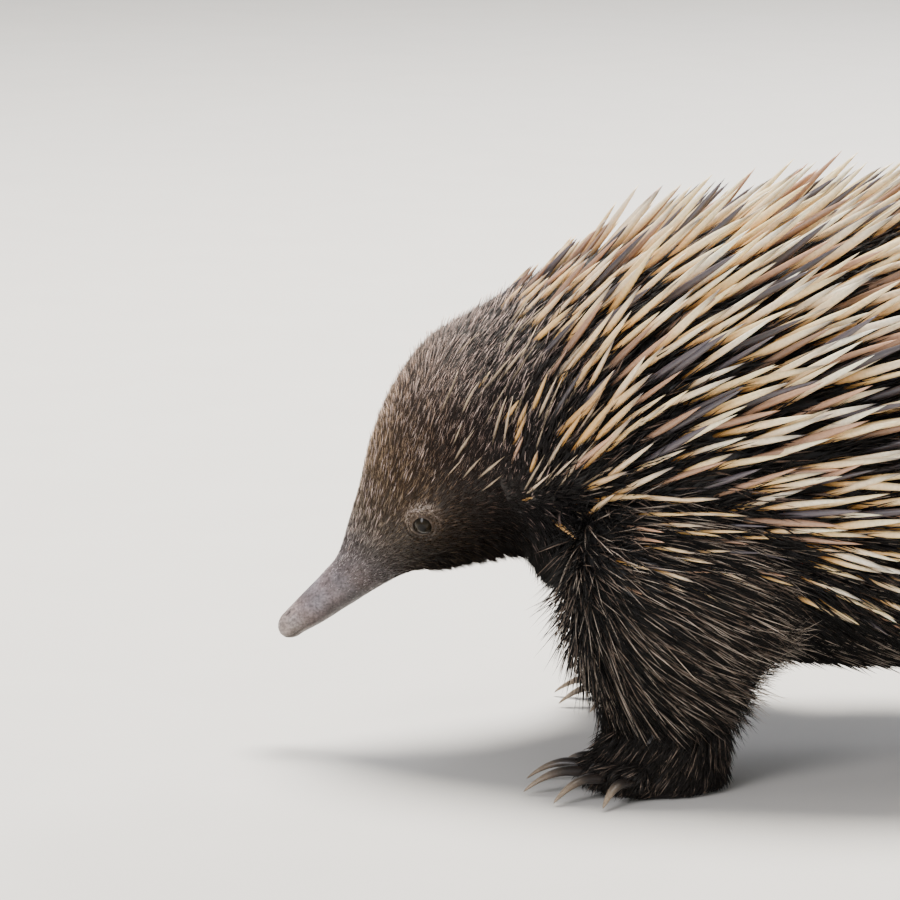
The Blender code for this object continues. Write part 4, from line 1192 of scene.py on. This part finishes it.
# %% Lie and lift
# Degrees round the body from its top, and for places on the ring count the coat's slope there, up being plus
LIE_TURNS = (0, 30, 60, 85, 97, 106, 115, 125, 180)
LIE_SLOPES = np.array(
    (
        (-1.0, 44, 43, 40, 36, 34, 33, 32, 31, 31),
        (3.5, 52, 50, 48, 44, 41, 38, 36, 34, 33),
        (4.5, 70, 68, 62, 50, 44, 38, 33, 30, 30),
        (5.6, 74, 70, 64, 50, 41, 34, 28, 24, 20),
        (7.2, 66, 65, 62, 56, 44, 34, 25, 17, 14),
        (8.4, 48, 54, 60, 61, 55, 44, 28, 14, 8),
        (9.4, 30, 43, 57, 60, 52, 36, 12, -4, 0),
        (10.2, 24, 32, 46, 48, 32, 6, -20, -36, -10),
        (11.0, 20, 22, 27, 27, 18, 0, -18, -28, 0),
        (12.0, 12, 14, 17, 16, 12, 0, -12, -20, 0),
        (14.0, 0, 5, 10, 9, 4, -6, -14, -20, 0),
    )
)
# Between these places the table gives way to the body's own run, which droops down the flank by some degrees
FIELD_END = (12.5, 15.0)
DROOP = ((0.0, 0.0), (72.0, 0.0), (105.0, 14.0), (180.0, 14.0))
# The slope on the legs, from their front edge at -1 to their back edge at 1
LEG_SLOPES = ((-1.0, -72.0), (-0.8, -55.0), (-0.45, -33.0), (0.0, -26.0), (1.0, -20.0))
DOWN, AHEAD = np.array((0.0, 0.0, -1.0)), np.array((-1.0, 0.0, 0.0))


def slope_way(degrees):
    """A way towards the tail with a slope in degrees, in the side view."""
    slope = np.radians(degrees)
    return np.stack((np.cos(slope), 0 * slope, np.sin(slope)), axis=-1)


def table_slope(t, turn):
    """The slope table between its entries."""
    rows = np.array([np.interp(turn, LIE_TURNS, row[1:]) for row in LIE_SLOPES])
    place = np.interp(t, LIE_SLOPES[:, 0], np.arange(len(rows)))
    low = np.minimum(place.astype(int), len(rows) - 2)
    share, each = place - low, np.arange(len(turn))
    return rows[low, each] * (1 - share) + rows[low + 1, each] * share


def place_on_leg(roots):
    """How far behind or ahead of its leg's middle a root is, from -1 in front to 1 behind."""
    share = np.zeros(len(roots))
    for number, name in enumerate(LEG_NAMES, 1):
        on_leg = roots.kind == number
        oval = read_table(LEGS[name.split("_")[0]], roots.v[on_leg])
        share[on_leg] = (roots.point[on_leg, 0] - mm(oval[:, 0] + STEP[name], 0, 0)[:, 0]) / MM / oval[:, 3]
    return np.clip(share, -1, 1)


def foot_ahead(roots):
    """The way the foot of each root's leg points."""
    ways = np.array([AHEAD] + [foot_axes(*name.split("_"))[0] for name in LEG_NAMES])
    return ways[roots.kind]


def lie_of(roots):
    """The way the coat runs along the skin at each root."""
    droop = np.radians(look_up(DROOP, roots.turn))[:, None]
    body_lie = roots.along * np.cos(droop) + DOWN * np.sin(droop)
    share = ease(*FIELD_END, roots.t)[:, None]
    body_lie = slope_way(table_slope(roots.t, roots.turn)) * (1 - share) + body_lie * share
    slope = look_up(LEG_SLOPES, place_on_leg(roots)) * (1 - 0.55 * ease(2.2, 3.6, roots.v))
    slope -= 10 * (1 - ease(0.0, 1.2, roots.v))
    toes = (1 - ease(-0.3, 0.6, roots.v))[:, None]
    leg_lie = slope_way(slope) * (1 - toes) + (foot_ahead(roots) * 0.6 + DOWN * 0.7 + roots.out * 0.3) * toes
    lie = np.where(roots.on_trunk[:, None], body_lie, leg_lie)
    for side in SIDES:
        _, _, back, up = face_frame(EYE_PLACE, side)
        across = seen_from(roots.point, face_frame(EYE_PLACE, side))[:, :2]
        away = unit(across) @ np.stack((back, up))
        toward = (1 - ease(4.0, 9.0, np.hypot(*across.T)))[:, None]
        lie = lie - away * (lie * away).sum(axis=1, keepdims=True) * toward * 0.85
    return unit(lie - roots.out * (lie * roots.out).sum(axis=1, keepdims=True))


# Degrees that the coat stands off the skin, along the body and up the legs, and how many more at some places
BODY_LIFT = ((2.5, 8.0), (5.0, 11.0), (7.0, 18.0), (8.5, 23.0), (10.0, 26.0), (12.0, 30.0))
LEG_LIFT = ((-1.0, 12.0), (0.0, 14.0), (1.0, 14.0), (4.0, 16.0))
THROAT_LIFT, BELLY_LIFT, CROWN_LIFT, LEG_FRONT_LIFT, HEEL_LIFT = 34, -14, 9, 22, 16


def lift_of(roots):
    """Degrees that the coat stands off the skin, more at the throat, the crown and the legs' front edge."""
    throat = THROAT_LIFT * ease(132, 150, roots.turn) * between(3.8, 4.8, 8.4, 9.8, roots.t)
    belly = BELLY_LIFT * ease(120, 150, roots.turn) * ease(11.0, 13.0, roots.t)
    body = look_up(BODY_LIFT, roots.t) + throat + belly + CROWN_LIFT * on_crown(roots)
    leg = look_up(LEG_LIFT, roots.v) + LEG_FRONT_LIFT * ease(0.4, 0.95, -roots.out[:, 0])
    heel = ease(-0.2, 0.8, -(roots.out * foot_ahead(roots)).sum(axis=1))
    leg = leg + HEEL_LIFT * heel * (1 - ease(0.2, 1.0, roots.v)) * ease(-0.95, -0.7, roots.v)
    return np.where(roots.on_trunk, body, leg)


def on_crown(roots):
    """1 along the top of the head and the nape, where the hairs stand up in a fringe."""
    along = between(5.0, 7.0, 9.8, 10.6, roots.t)
    return np.where(roots.on_trunk, along * (1 - ease(14, 42, roots.turn)), 0)


def on_chest(roots):
    """1 on the front of the shoulders and the chest, where the fur is a ruffled mass."""
    body_part = between(9.4, 10.2, 11.2, 12.5, roots.t) * ease(92, 106, roots.turn)
    leg_part = ease(1.4, 2.6, roots.v) * (1 - ease(-0.75, -0.35, place_on_leg(roots)))
    return np.where(roots.on_trunk, body_part, leg_part)


# How much more hairs are scattered on the chest and round the eyes, and the scatter of lift as a share
CHEST_RUFFLE, EYE_RUFFLE, LIFT_SCATTER = 1.8, 2.2, 0.6


def set_out(roots, lift, scatter, chance, ruffle=CHEST_RUFFLE):
    """The way each hair leaves the skin, with a scatter in degrees, more of it at the eyes and the chest."""
    lie = lie_of(roots)
    scatter = scatter * (1 + ruffle * on_chest(roots) + EYE_RUFFLE * eye_ring(roots.point))
    aside = np.cross(roots.out, lie)
    swing = np.radians(chance.normal(0, scatter, len(roots)))[:, None]
    rise = np.radians(lift + chance.normal(0, scatter * LIFT_SCATTER, len(roots)))[:, None]
    lie = lie * np.cos(swing) + aside * np.sin(swing)
    return lie * np.cos(rise) + roots.out * np.sin(rise)


def to_lock(roots, density, spacing, chance):
    """From each root to the middle of its lock, in millimetres. Locks lie about a spacing apart."""
    heads = chance.random(len(roots)) * density * spacing**2 < 1
    heads[:1] = True
    heads = roots.point[heads]
    near = KDTree(len(heads))
    for number, head in enumerate(heads):
        near.insert(head, number)
    near.balance()
    return (heads[[near.find(point)[1] for point in roots.point]] - roots.point) / MM


head_spots = everywhere.only(everywhere.t < EAR_PLACE[0])
print("the coat of the head stands up to", round(float(lift_of(head_spots).max())), "degrees off the skin")


# %% [markdown]
# ## The spines
#
# Some seventeen hundred spines cover the back, up to 50 mm long and three or four thick. They are scattered,
# but keep a gap from each other, as real ones do. A spine is thickest at its middle and tapers to a needle.
# Most turn from tan at the root through gold to cream, some have dark tips, and some are slate or brown all
# over. They shorten and thin towards the neck and low on the flanks, where they give way to bristles, and a
# few small golden ones stand ahead of the rest.

# %% Where the spines stand
SPINE_START, SPINE_END = 9.15, 19.95
# The lowest spines round the body, in degrees from its top, at places on the ring count
SPINE_EDGE = (
    (9.15, 6.0),
    (9.4, 34.0),
    (9.7, 62.0),
    (10.1, 92.0),
    (10.6, 106.0),
    (12.0, 118.0),
    (17.6, 142.0),
    (20.0, 168.0),
)
EDGE_RAGGED = 3.0  # degrees on the body, millimetres on the legs
SPINE_GAPS = ((9.2, 4.6), (10.5, 5.4), (12.0, 5.7), (18.0, 5.7), (20.0, 4.8))
LOWEST_SPINE = 72.0  # on the shoulders and thighs, in millimetres over the floor
# The few small spines ahead of the edge: where they stand along and round the body, and their share
FEW_PLACES, FEW_TURNS, FEW_SHARE = (8.6, 10.9), (52.0, 117.0), 0.06
SPINE_CROWD = 0.2  # places tried per square millimetre, before the gaps are kept
# Shares of the length and of the lift at degrees from the top
LENGTH_SHARES = ((0.0, 1.0), (80.0, 0.95), (105.0, 0.72), (122.0, 0.45), (180.0, 0.4))
LIFT_SHARES = ((0.0, 1.1), (45.0, 0.86), (90.0, 0.55), (180.0, 0.50))


def spines_here(roots, chance):
    """1 where spines stand and 0 elsewhere, with a ragged edge and a few small ones ahead of it."""
    edge = look_up(SPINE_EDGE, roots.t) + chance.normal(0, EDGE_RAGGED, len(roots))
    on_body = (roots.t > SPINE_START) & (roots.t < SPINE_END) & (roots.turn < edge)
    lowest = (LOWEST_SPINE + chance.normal(0, EDGE_RAGGED, len(roots))) * MM
    on_leg = (roots.v > 2.8) & (roots.point[:, 2] > lowest) & (place_on_leg(roots) > -0.6)
    few = (roots.t > FEW_PLACES[0]) & (roots.t < FEW_PLACES[1])
    few &= (roots.turn > FEW_TURNS[0]) & (roots.turn < FEW_TURNS[1])
    on_body = np.where(on_body, 1.0, FEW_SHARE * few)
    return np.where(roots.on_trunk, on_body, on_leg)


def spread_apart(roots, gap):
    """The roots, taken in turn, that keep their gap in millimetres from all taken before them."""
    cell = gap.max() * MM
    taken, kept, steps = {}, [], (-1, 0, 1)
    for number, (point, own_gap) in enumerate(zip(roots.point, gap * MM)):
        x, y, z = (int(value // cell) for value in point)
        cells = ((x + i, y + j, z + k) for i in steps for j in steps for k in steps)
        if all(math.dist(point, other) > own_gap for key in cells for other in taken.get(key, ())):
            taken.setdefault((x, y, z), []).append(point)
            kept.append(number)
    return roots.only(kept)


spine_chance = np.random.default_rng(31)
spine_roots = throw(SPINE_CROWD * spines_here(everywhere, spine_chance), spine_chance)
spine_roots = spine_roots.only(spine_chance.permutation(len(spine_roots)))
spine_roots = spread_apart(spine_roots, look_up(SPINE_GAPS, spine_roots.t))
print(len(spine_roots), "spines")

# %% Grow the spines
SPINE_PROFILE = ((0.0, 0.50), (0.11, 0.78), (0.26, 0.98), (0.48, 1.0), (0.71, 0.76), (0.89, 0.38))
TAN, GOLD, CREAM, IVORY = (linear(code) for code in ("#8f5d2c", "#e2aa58", "#f8dfa9", "#fff5de"))
SLATE, BROWN = linear("#474145"), linear("#97765f")
# Towards the neck the pale spines turn partly gold, and low on it mostly to a darker gold
FRONT_GOLD, GOLDEN, GOLDEN_SHARE = 0.45, GOLD * 0.52 + TAN * 0.25, 0.78
DARK_SHARE, BROWN_SHARE, DARK_TIP_SHARE = 0.19, 0.14, 0.42
# Scatter in degrees, shares by which length and width vary, and bends out of line and down
SPINE_SCATTER, SPINE_LENGTHS, SPINE_WIDTHS = 5.2, (0.70, 1.08), (0.80, 1.15)
SPINE_BEND, SPINE_DROOP = 0.03, 0.02
# On the legs: length at the lowest place, its growth for each millimetre up, and lift
LEG_SPINE_LENGTH, LEG_SPINE_GROWTH, LEG_SPINE_LIFT = 11, 0.5, 17.0
# Width in millimetres, on the body and on the legs, and how it grows with the length
BODY_SPINE_WIDTH, LEG_SPINE_WIDTH, WIDTH_GROWTH = 0.98, 0.45, 0.048


def spine_colours(roots, chance):
    """Colours of each spine's rings and tip: tan, gold, cream for most, with slate and brown ones between."""
    count = len(roots)
    kind, warmth = chance.random(count), chance.random(count)[:, None]
    forward = np.where(roots.on_trunk, 1 - ease(9.5, 11.5, roots.t), 0.9)[:, None]
    pale = CREAM * warmth + IVORY * (1 - warmth)
    pale = pale * (1 - FRONT_GOLD * forward) + GOLD * FRONT_GOLD * forward
    golden = (1 - ease(9.9, 11.2, roots.t)) * ease(48, 82, roots.turn) * roots.on_trunk
    golden = GOLDEN_SHARE * golden[:, None]
    pale = pale * (1 - golden) + GOLDEN * golden
    gold = GOLD * (0.85 + 0.3 * warmth) * (1 - 0.35 * golden)
    root = TAN * (0.7 + 0.6 * chance.random(count)[:, None])
    tip = np.where((chance.random(count) < DARK_TIP_SHARE)[:, None], SLATE * 1.5, pale)
    shade = 0.7 + 0.9 * warmth
    for low, high, colour in ((0, DARK_SHARE, SLATE), (DARK_SHARE, DARK_SHARE + BROWN_SHARE, BROWN)):
        chosen = ((kind >= low) & (kind < high))[:, None]
        root = np.where(chosen, colour * 0.55 * shade, root)
        gold = np.where(chosen, colour * 0.8 * shade, gold)
        pale = np.where(chosen, colour * shade, pale)
        tip = np.where(chosen, colour * 1.4 * shade, tip)
    stops = (root * 0.6, root * 0.5 + gold * 0.5, gold * 0.8 + pale * 0.2, gold * 0.3 + pale * 0.7)
    stops = (*stops, pale * 0.85 + tip * 0.15, pale * 0.3 + tip * 0.7, tip)
    return [np.clip(stop, 0, 0.95) for stop in stops]


def grow_spines(name, roots, chance):
    ring = read_table(RINGS, roots.t)
    length = ring[:, 6] * look_up(LENGTH_SHARES, roots.turn)
    on_leg = LEG_SPINE_LENGTH + LEG_SPINE_GROWTH * (roots.point[:, 2] / MM - LOWEST_SPINE)
    length = np.where(roots.on_trunk, length, on_leg) * chance.uniform(*SPINE_LENGTHS, len(roots))
    lift = np.where(roots.on_trunk, ring[:, 7] * look_up(LIFT_SHARES, roots.turn), LEG_SPINE_LIFT)
    way = set_out(roots, lift, SPINE_SCATTER, chance, ruffle=0.0)
    bend = roots.out * chance.normal(0.0, SPINE_BEND, (len(roots), 1)) + DOWN * SPINE_DROOP
    width = np.where(roots.on_trunk, BODY_SPINE_WIDTH, LEG_SPINE_WIDTH) + WIDTH_GROWTH * length
    width = width * chance.uniform(*SPINE_WIDTHS, len(roots))
    colours = spine_colours(roots, chance)
    grow(name, roots, way, bend, length, width, SPINE_PROFILE, colours, KERATIN, sides=8, sink=0.08)


for side, roots in spine_roots.halves().items():
    grow_spines(f"spines_{side}", roots, spine_chance)

# %% [markdown]
# ## The fur
#
# Fur is thickest and shortest on the face, where hairs of three or four millimetres lie flat, and grows to
# long black hair between the spines and on the legs. Density, length and width all come from the place of
# the root. No hair grows on the front of the beak, in the eye, in the slit of the ear or on the soles.

# %% How the fur grows
# Hairs per square millimetre, lengths and widths in millimetres, along the body and up the legs
BODY_CROWD = (
    (1.7, 0.0),
    (2.4, 1.6),
    (3.1, 3.6),
    (4.0, 5.6),
    (6.5, 5.6),
    (8.0, 4.8),
    (9.0, 2.0),
    (10.0, 0.9),
    (11.5, 0.22),
    (18.0, 0.22),
    (20.0, 0.5),
)
LEG_CROWD = ((-1.0, 1.2), (-0.2, 1.1), (0.5, 0.8), (1.5, 0.58), (3.0, 0.58), (4.0, 0.7))
BODY_HAIR = (
    (1.7, 0.5),
    (3.0, 1.3),
    (4.0, 2.6),
    (5.6, 3.6),
    (7.0, 4.6),
    (8.2, 5.6),
    (9.2, 7.5),
    (10.5, 13.0),
    (12.0, 19.0),
    (20.0, 13.0),
)
LEG_HAIR = ((-1.0, 4.5), (-0.5, 7.5), (0.0, 12.5), (0.6, 17.0), (1.5, 18.5), (3.0, 19.0), (5.0, 15.0))
BODY_WIDTH = ((2.1, 0.14), (3.0, 0.17), (5.0, 0.19), (7.0, 0.21), (8.6, 0.25), (9.0, 0.34), (11.0, 0.75))
LEG_WIDTH = ((-1.0, 0.40), (0.0, 0.42))


def near_ear(roots):
    """How far from the middle of an ear each root is, 1 being the edge of its slit."""
    spots = np.stack([seen_from(roots.point, face_frame(EAR_PLACE, side)) for side in SIDES])
    return oval_in(spots, EAR_OPENING).min(axis=0)


def eye_gap(roots):
    """Millimetres from each root to the nearer eye."""
    gaps = [np.linalg.norm(seen_from(roots.point, face_frame(EYE_PLACE, side)), axis=1) for side in SIDES]
    return np.minimum(*gaps)


def fur_density(roots):
    """Hairs per square millimetre."""
    belly = 1 + 0.5 * ease(115, 140, roots.turn) * ease(10.0, 12.0, roots.t)
    throat = 1 + 0.8 * ease(95, 115, roots.turn) * between(9.0, 9.8, 11.5, 12.5, roots.t)
    body = look_up(BODY_CROWD, roots.t) * belly * throat
    density = np.where(roots.on_trunk, body, look_up(LEG_CROWD, roots.v))
    sole = (roots.point[:, 2] < 2.5 * MM) & (roots.out[:, 2] < -0.3)
    density[sole] = 0
    for side in SIDES:
        oval = oval_in(seen_from(roots.point, face_frame(EYE_PLACE, side)), EYE_OPENING)
        density *= ease(1.08, 1.25, oval) * (1 + 0.5 * (1 - ease(1.9, 2.6, oval)))
    density[near_ear(roots) < 0.35] = 0
    return density


def fur_length(roots):
    throat = 1 + 0.7 * ease(132, 150, roots.turn) * between(3.6, 4.6, 8.4, 10.0, roots.t)
    cheek = 1 - 0.3 * between(70, 95, 125, 150, roots.turn) * (1 - ease(9.0, 10.0, roots.t))
    belly = 1 - 0.25 * ease(115, 150, roots.turn) * ease(10.0, 12.0, roots.t)
    body = look_up(BODY_HAIR, roots.t) * throat * cheek * belly
    length = np.where(roots.on_trunk, body, look_up(LEG_HAIR, roots.v))
    return length * (0.27 + 0.73 * ease(4.5, 8.5, eye_gap(roots)))


def fur_width(roots):
    throat = 1 + 0.9 * ease(128, 150, roots.turn) * between(3.6, 4.6, 8.5, 10.0, roots.t)
    width = np.where(roots.on_trunk, look_up(BODY_WIDTH, roots.t) * throat, look_up(LEG_WIDTH, roots.v))
    return width * (1 + 0.7 * eye_ring(roots.point))


fur_chance = np.random.default_rng(47)
fur_roots = throw(fur_density(everywhere), fur_chance)
print(len(fur_roots), "hairs")

# %% Grow the fur, region by region
# Places along a hair before its tip, and its width there
FINE_HAIR = ((0.0, 1.0),)
SHORT_HAIR = ((0.0, 0.8), (0.45, 1.0))
LONG_HAIR = ((0.0, 0.8), (0.5, 1.0))
# How many hairs have pale tips, by place on the ring count and by degrees from the top, and on the legs
GRIZZLE_ALONG = (
    (1.7, 0.50),
    (3.0, 0.40),
    (4.2, 0.24),
    (6.2, 0.19),
    (7.0, 0.13),
    (8.5, 0.09),
    (9.2, 0.13),
    (10.5, 0.10),
    (20.0, 0.05),
)
GRIZZLE_AROUND = ((0.0, 1.0), (50.0, 1.0), (80.0, 0.75), (100.0, 0.55), (120.0, 0.40), (180.0, 0.3))
GRIZZLE_LEG = 0.13
# How strongly hairs draw together into locks, by place on the ring count and on the legs
LOCKS, LEG_LOCKS = ((2.0, 0.0), (6.0, 0.15), (8.5, 0.25), (10.5, 0.5), (20.0, 0.5)), 0.42
FINE_LOCK, COARSE_LOCK = 2.4, 3.6  # millimetres between locks
FUR_SCATTER, HAIR_SHADES, PALE_TIP = 8.0, 0.25, 1.4
# Hairs bend back to the skin, down under their own weight, less on the body, and each a little its own way
HAIR_TO_SKIN, BODY_DROOP, LEG_DROOP, HAIR_CURL = 0.10, 0.02, 0.06, 0.04


def hair_colours(roots, rings, chance):
    """Root to tip colours, each hair a shade of its own, and only some with the pale tip of the markings."""
    root, tip = markings(roots)
    shade = np.exp(chance.normal(0, HAIR_SHADES, (len(roots), 1)))
    share = look_up(GRIZZLE_ALONG, roots.t) * look_up(GRIZZLE_AROUND, roots.turn)
    share = np.where(roots.on_trunk, share, GRIZZLE_LEG) + 0.5 * eye_ring(roots.point)
    pale = (chance.random(len(roots)) < share)[:, None]
    tip = np.where(pale, tip * PALE_TIP, root * 1.2)
    places = (0.30, 1.0) if rings == 1 else (*np.linspace(0.0, 0.7, rings), 1.0)
    return [(root * (1 - place) + tip * place) * shade for place in places]


def grow_fur(name, roots, profile, chance):
    length = fur_length(roots) * chance.uniform(0.7, 1.2, len(roots))
    way = set_out(roots, lift_of(roots), FUR_SCATTER, chance)
    bend = -roots.out * HAIR_TO_SKIN + DOWN * np.where(roots.on_trunk, BODY_DROOP, LEG_DROOP)[:, None]
    bend = bend + chance.normal(0, HAIR_CURL, (len(roots), 3))
    gather = np.where(roots.on_trunk, look_up(LOCKS, roots.t), LEG_LOCKS)
    gather = gather + 0.8 * ease(128, 145, roots.turn) * ease(3.6, 4.4, roots.t) * roots.on_trunk
    spacing = FINE_LOCK if profile is FINE_HAIR else COARSE_LOCK
    middle = to_lock(roots, fur_density(roots), spacing, chance)
    bend = bend + middle * (np.minimum(gather, 1.0) / length)[:, None]
    width = fur_width(roots) * chance.uniform(0.75, 1.25, len(roots))
    colours = hair_colours(roots, len(profile), chance)
    grow(name, roots, way, bend, length, width, profile, colours, HAIR)


# Where each part of the body's fur starts and ends on the ring count
FUR_PARTS = {
    "face": (0.0, 6.9, FINE_HAIR),
    "cheek": (6.9, 8.6, FINE_HAIR),
    "neck": (8.6, 10.6, SHORT_HAIR),
    "body": (10.6, 22.0, SHORT_HAIR),
}
for side, roots in fur_roots.halves().items():
    for part, (start, end, profile) in FUR_PARTS.items():
        there = roots.on_trunk & (roots.t >= start) & (roots.t < end)
        grow_fur(f"fur_{part}_{side}", roots.only(there), profile, fur_chance)
for number, name in enumerate(LEG_NAMES, 1):
    grow_fur(f"fur_{name}", fur_roots.only(fur_roots.kind == number), LONG_HAIR, fur_chance)

# %% [markdown]
# ## Bristles
#
# Among the fur stand longer, stiffer hairs. On the neck in front of the spines they are thin tan spindles,
# far apart, and on the shoulder, flank and legs fine brown streaks with pale ends. On the head they are
# short pale flecks, which stand up in a fringe along the crown.

# %% Grow the bristles
SPINDLE = ((0.0, 0.35), (0.22, 0.7), (0.45, 1.0), (0.70, 0.62))
STREAK = ((0.0, 0.7), (0.4, 1.0), (0.75, 0.6))
NECK_BRISTLE, STREAK_BROWN, STREAK_PALE = linear("#a8957d"), linear("#5f5044"), linear("#cdbfb0")
HEAD_FLECK = linear("#d8c0b4")
# Bristles of each kind per square millimetre, before their place makes them closer or wider apart
NECK_CROWD, FLANK_STREAKS, LEG_STREAKS, HEAD_FLECKS = 0.013, 0.06, 0.10, 0.20
# Scatter and what they stand up more on the crown, both in degrees, droop, curl, and how their shades vary
BRISTLE_SCATTER, BRISTLE_FRINGE, BRISTLE_DROOP, BRISTLE_CURL, BRISTLE_SHADES = 6.0, 34, 0.04, 0.03, 0.28
BRISTLE_LENGTHS = (8.0, 30.0)  # in millimetres, where the thinnest and the widest are reached
BRISTLE_REACH = ((6.8, 0.45), (8.6, 0.85), (9.8, 1.0))  # a share of the length, by place on the ring count


def neck_density(roots):
    """Spindles per square millimetre: from the cheek to the edge of the spines."""
    along = between(6.6, 7.6, 9.8, 11.2, roots.t) * (1 + 1.3 * ease(8.8, 9.6, roots.t))
    around = (1 - 0.8 * ease(92, 112, roots.turn)) * ease(22, 45, roots.turn)
    density = np.where(roots.on_trunk, NECK_CROWD * along * around, 0)
    density[near_ear(roots) < 1.7] = 0
    return density


def streak_density(roots):
    """Streaks per square millimetre: low on the flanks and down the legs."""
    flank = FLANK_STREAKS * ease(9.8, 10.6, roots.t) * between(80, 105, 140, 160, roots.turn)
    return np.where(roots.on_trunk, flank, LEG_STREAKS * ease(0.2, 1.0, roots.v))


def fleck_density(roots):
    """Long pale hairs over the short ones of the head."""
    along = between(3.2, 4.6, 9.0, 9.8, roots.t) * (1 - ease(45, 92, roots.turn))
    crown = (1 + 0.6 * ease(6.0, 7.0, roots.t)) * (1 - 0.45 * on_crown(roots))
    return np.where(roots.on_trunk, HEAD_FLECKS * along * crown * ease(5.0, 9.0, eye_gap(roots)), 0)


def grow_bristles(name, roots, reach, widths, lift, profile, colours, chance):
    """Bristles of a reach in millimetres, shorter ahead, with their colours at root, middle and tip."""
    length = reach * look_up(BRISTLE_REACH, roots.t) * chance.uniform(0.65, 1.15, len(roots))
    way = set_out(roots, lift + BRISTLE_FRINGE * on_crown(roots), BRISTLE_SCATTER, chance)
    bend = -roots.out * HAIR_TO_SKIN + DOWN * BRISTLE_DROOP
    bend = bend + chance.normal(0, BRISTLE_CURL, (len(roots), 3))
    width = np.interp(length, BRISTLE_LENGTHS, widths) * chance.uniform(0.8, 1.2, len(roots))
    shade = np.exp(chance.normal(0, BRISTLE_SHADES, (len(roots), 1)))
    rows = []
    for place in (*(place for place, _ in profile), 1.0):
        mix = np.array([np.interp(place, (0, 0.5, 1), channel) for channel in zip(*colours)])
        rows.append(mix * shade)
    grow(name, roots, way, bend, length, width, profile, rows, HAIR, sides=4, sink=0.06)


bristle_chance = np.random.default_rng(53)
neck_roots = throw(neck_density(everywhere), bristle_chance)
streak_roots = throw(streak_density(everywhere), bristle_chance)
fleck_roots = throw(fleck_density(everywhere), bristle_chance)
neck_colours = (NECK_BRISTLE * 0.35, NECK_BRISTLE, NECK_BRISTLE * 1.25)
streak_colours = (STREAK_BROWN * 0.3, STREAK_BROWN, STREAK_PALE)
fleck_colours = (HEAD_FLECK * 0.22, HEAD_FLECK * 0.75, HEAD_FLECK * 1.35)
for side in SIDES:
    for part, roots, *look in (
        ("neck", neck_roots, 27.0, (0.6, 1.4), 10.0, SPINDLE, neck_colours),
        ("streaks", streak_roots, 23.0, (0.28, 0.38), 15.0, STREAK, streak_colours),
        ("flecks", fleck_roots, 11.0, (0.22, 0.22), 12.0, STREAK, fleck_colours),
    ):
        grow_bristles(f"bristles_{part}_{side}", roots.halves()[side], *look, bristle_chance)

# %% [markdown]
# ## Floor and light
#
# The floor is plain and pale. The photograph has bright, soft light from above and behind, so a strong wide
# light hangs over the back and a weaker one stands behind. Another lights the near side, and the pale world
# fills the shadows.

# %% Lay the floor and hang the lights
floor_bm = bmesh.new()
bmesh.ops.create_grid(floor_bm, x_segments=1, y_segments=1, size=6.0)
bmesh.ops.translate(floor_bm, verts=floor_bm.verts, vec=(0, 0, -0.3 * MM))
floor_finish, floor_tree, floor_shader = new_finish("matt pale floor", Roughness=0.9)
floor_colour = add_node(floor_tree, "ShaderNodeRGB").outputs[0]
floor_colour.default_value = (*linear("#d4d1cc"), 1)
evenness = speckle(floor_tree, 60.0, 3.0, 0.985, 1.015)
scaled = add_node(floor_tree, "ShaderNodeVectorMath", {"operation": "SCALE"}, i0=floor_colour, Scale=evenness)
floor_tree.links.new(scaled.outputs[0], floor_shader.inputs["Base Color"])
floor = add_piece("floor", floor_bm, floor_finish)
floor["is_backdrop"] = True


def hang_light(name, place, aim, size, power, colour):
    light = bpy.data.lights.new(name, "AREA")
    light.shape, light.size, light.energy, light.color = "DISK", size, power, linear(colour)
    holder = bpy.data.objects.new(name, light)
    bpy.context.scene.collection.objects.link(holder)
    holder.location = place
    holder.rotation_mode = "QUATERNION"
    holder.rotation_quaternion = (Vector(place) - Vector(aim)).to_track_quat("Z", "Y")


hang_light("overhead", (0.3, 0.9, 3.0), (-0.05, 0, 0.1), 1.5, 330, "#fffaf2")
hang_light("near side", (-1.8, -2.6, 1.9), (-0.1, 0, 0.1), 1.4, 70, "#fdfbff")
hang_light("behind", (1.6, 2.6, 1.5), (0, 0, 0.1), 1.2, 75, "#f6f8ff")
world = bpy.data.worlds.new("pale room")
world.use_nodes = True
world.node_tree.nodes["Background"].inputs["Color"].default_value = (*linear("#eef0f2"), 1)
world.node_tree.nodes["Background"].inputs["Strength"].default_value = 0.6
bpy.context.scene.world = world

# %% [markdown]
# ## Sizes
#
# The dressed animal has to stay the size of its solids, so both boxes are written down and compared.

# %% Write both boxes and finish
shown_low, shown_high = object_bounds()
for corner, shown, solid in (("low", shown_low, solid_low), ("high", shown_high, solid_high)):
    print("the", corner, "corner is off the solids' by", np.round((np.array(shown) - solid) / MM, 1), "mm")
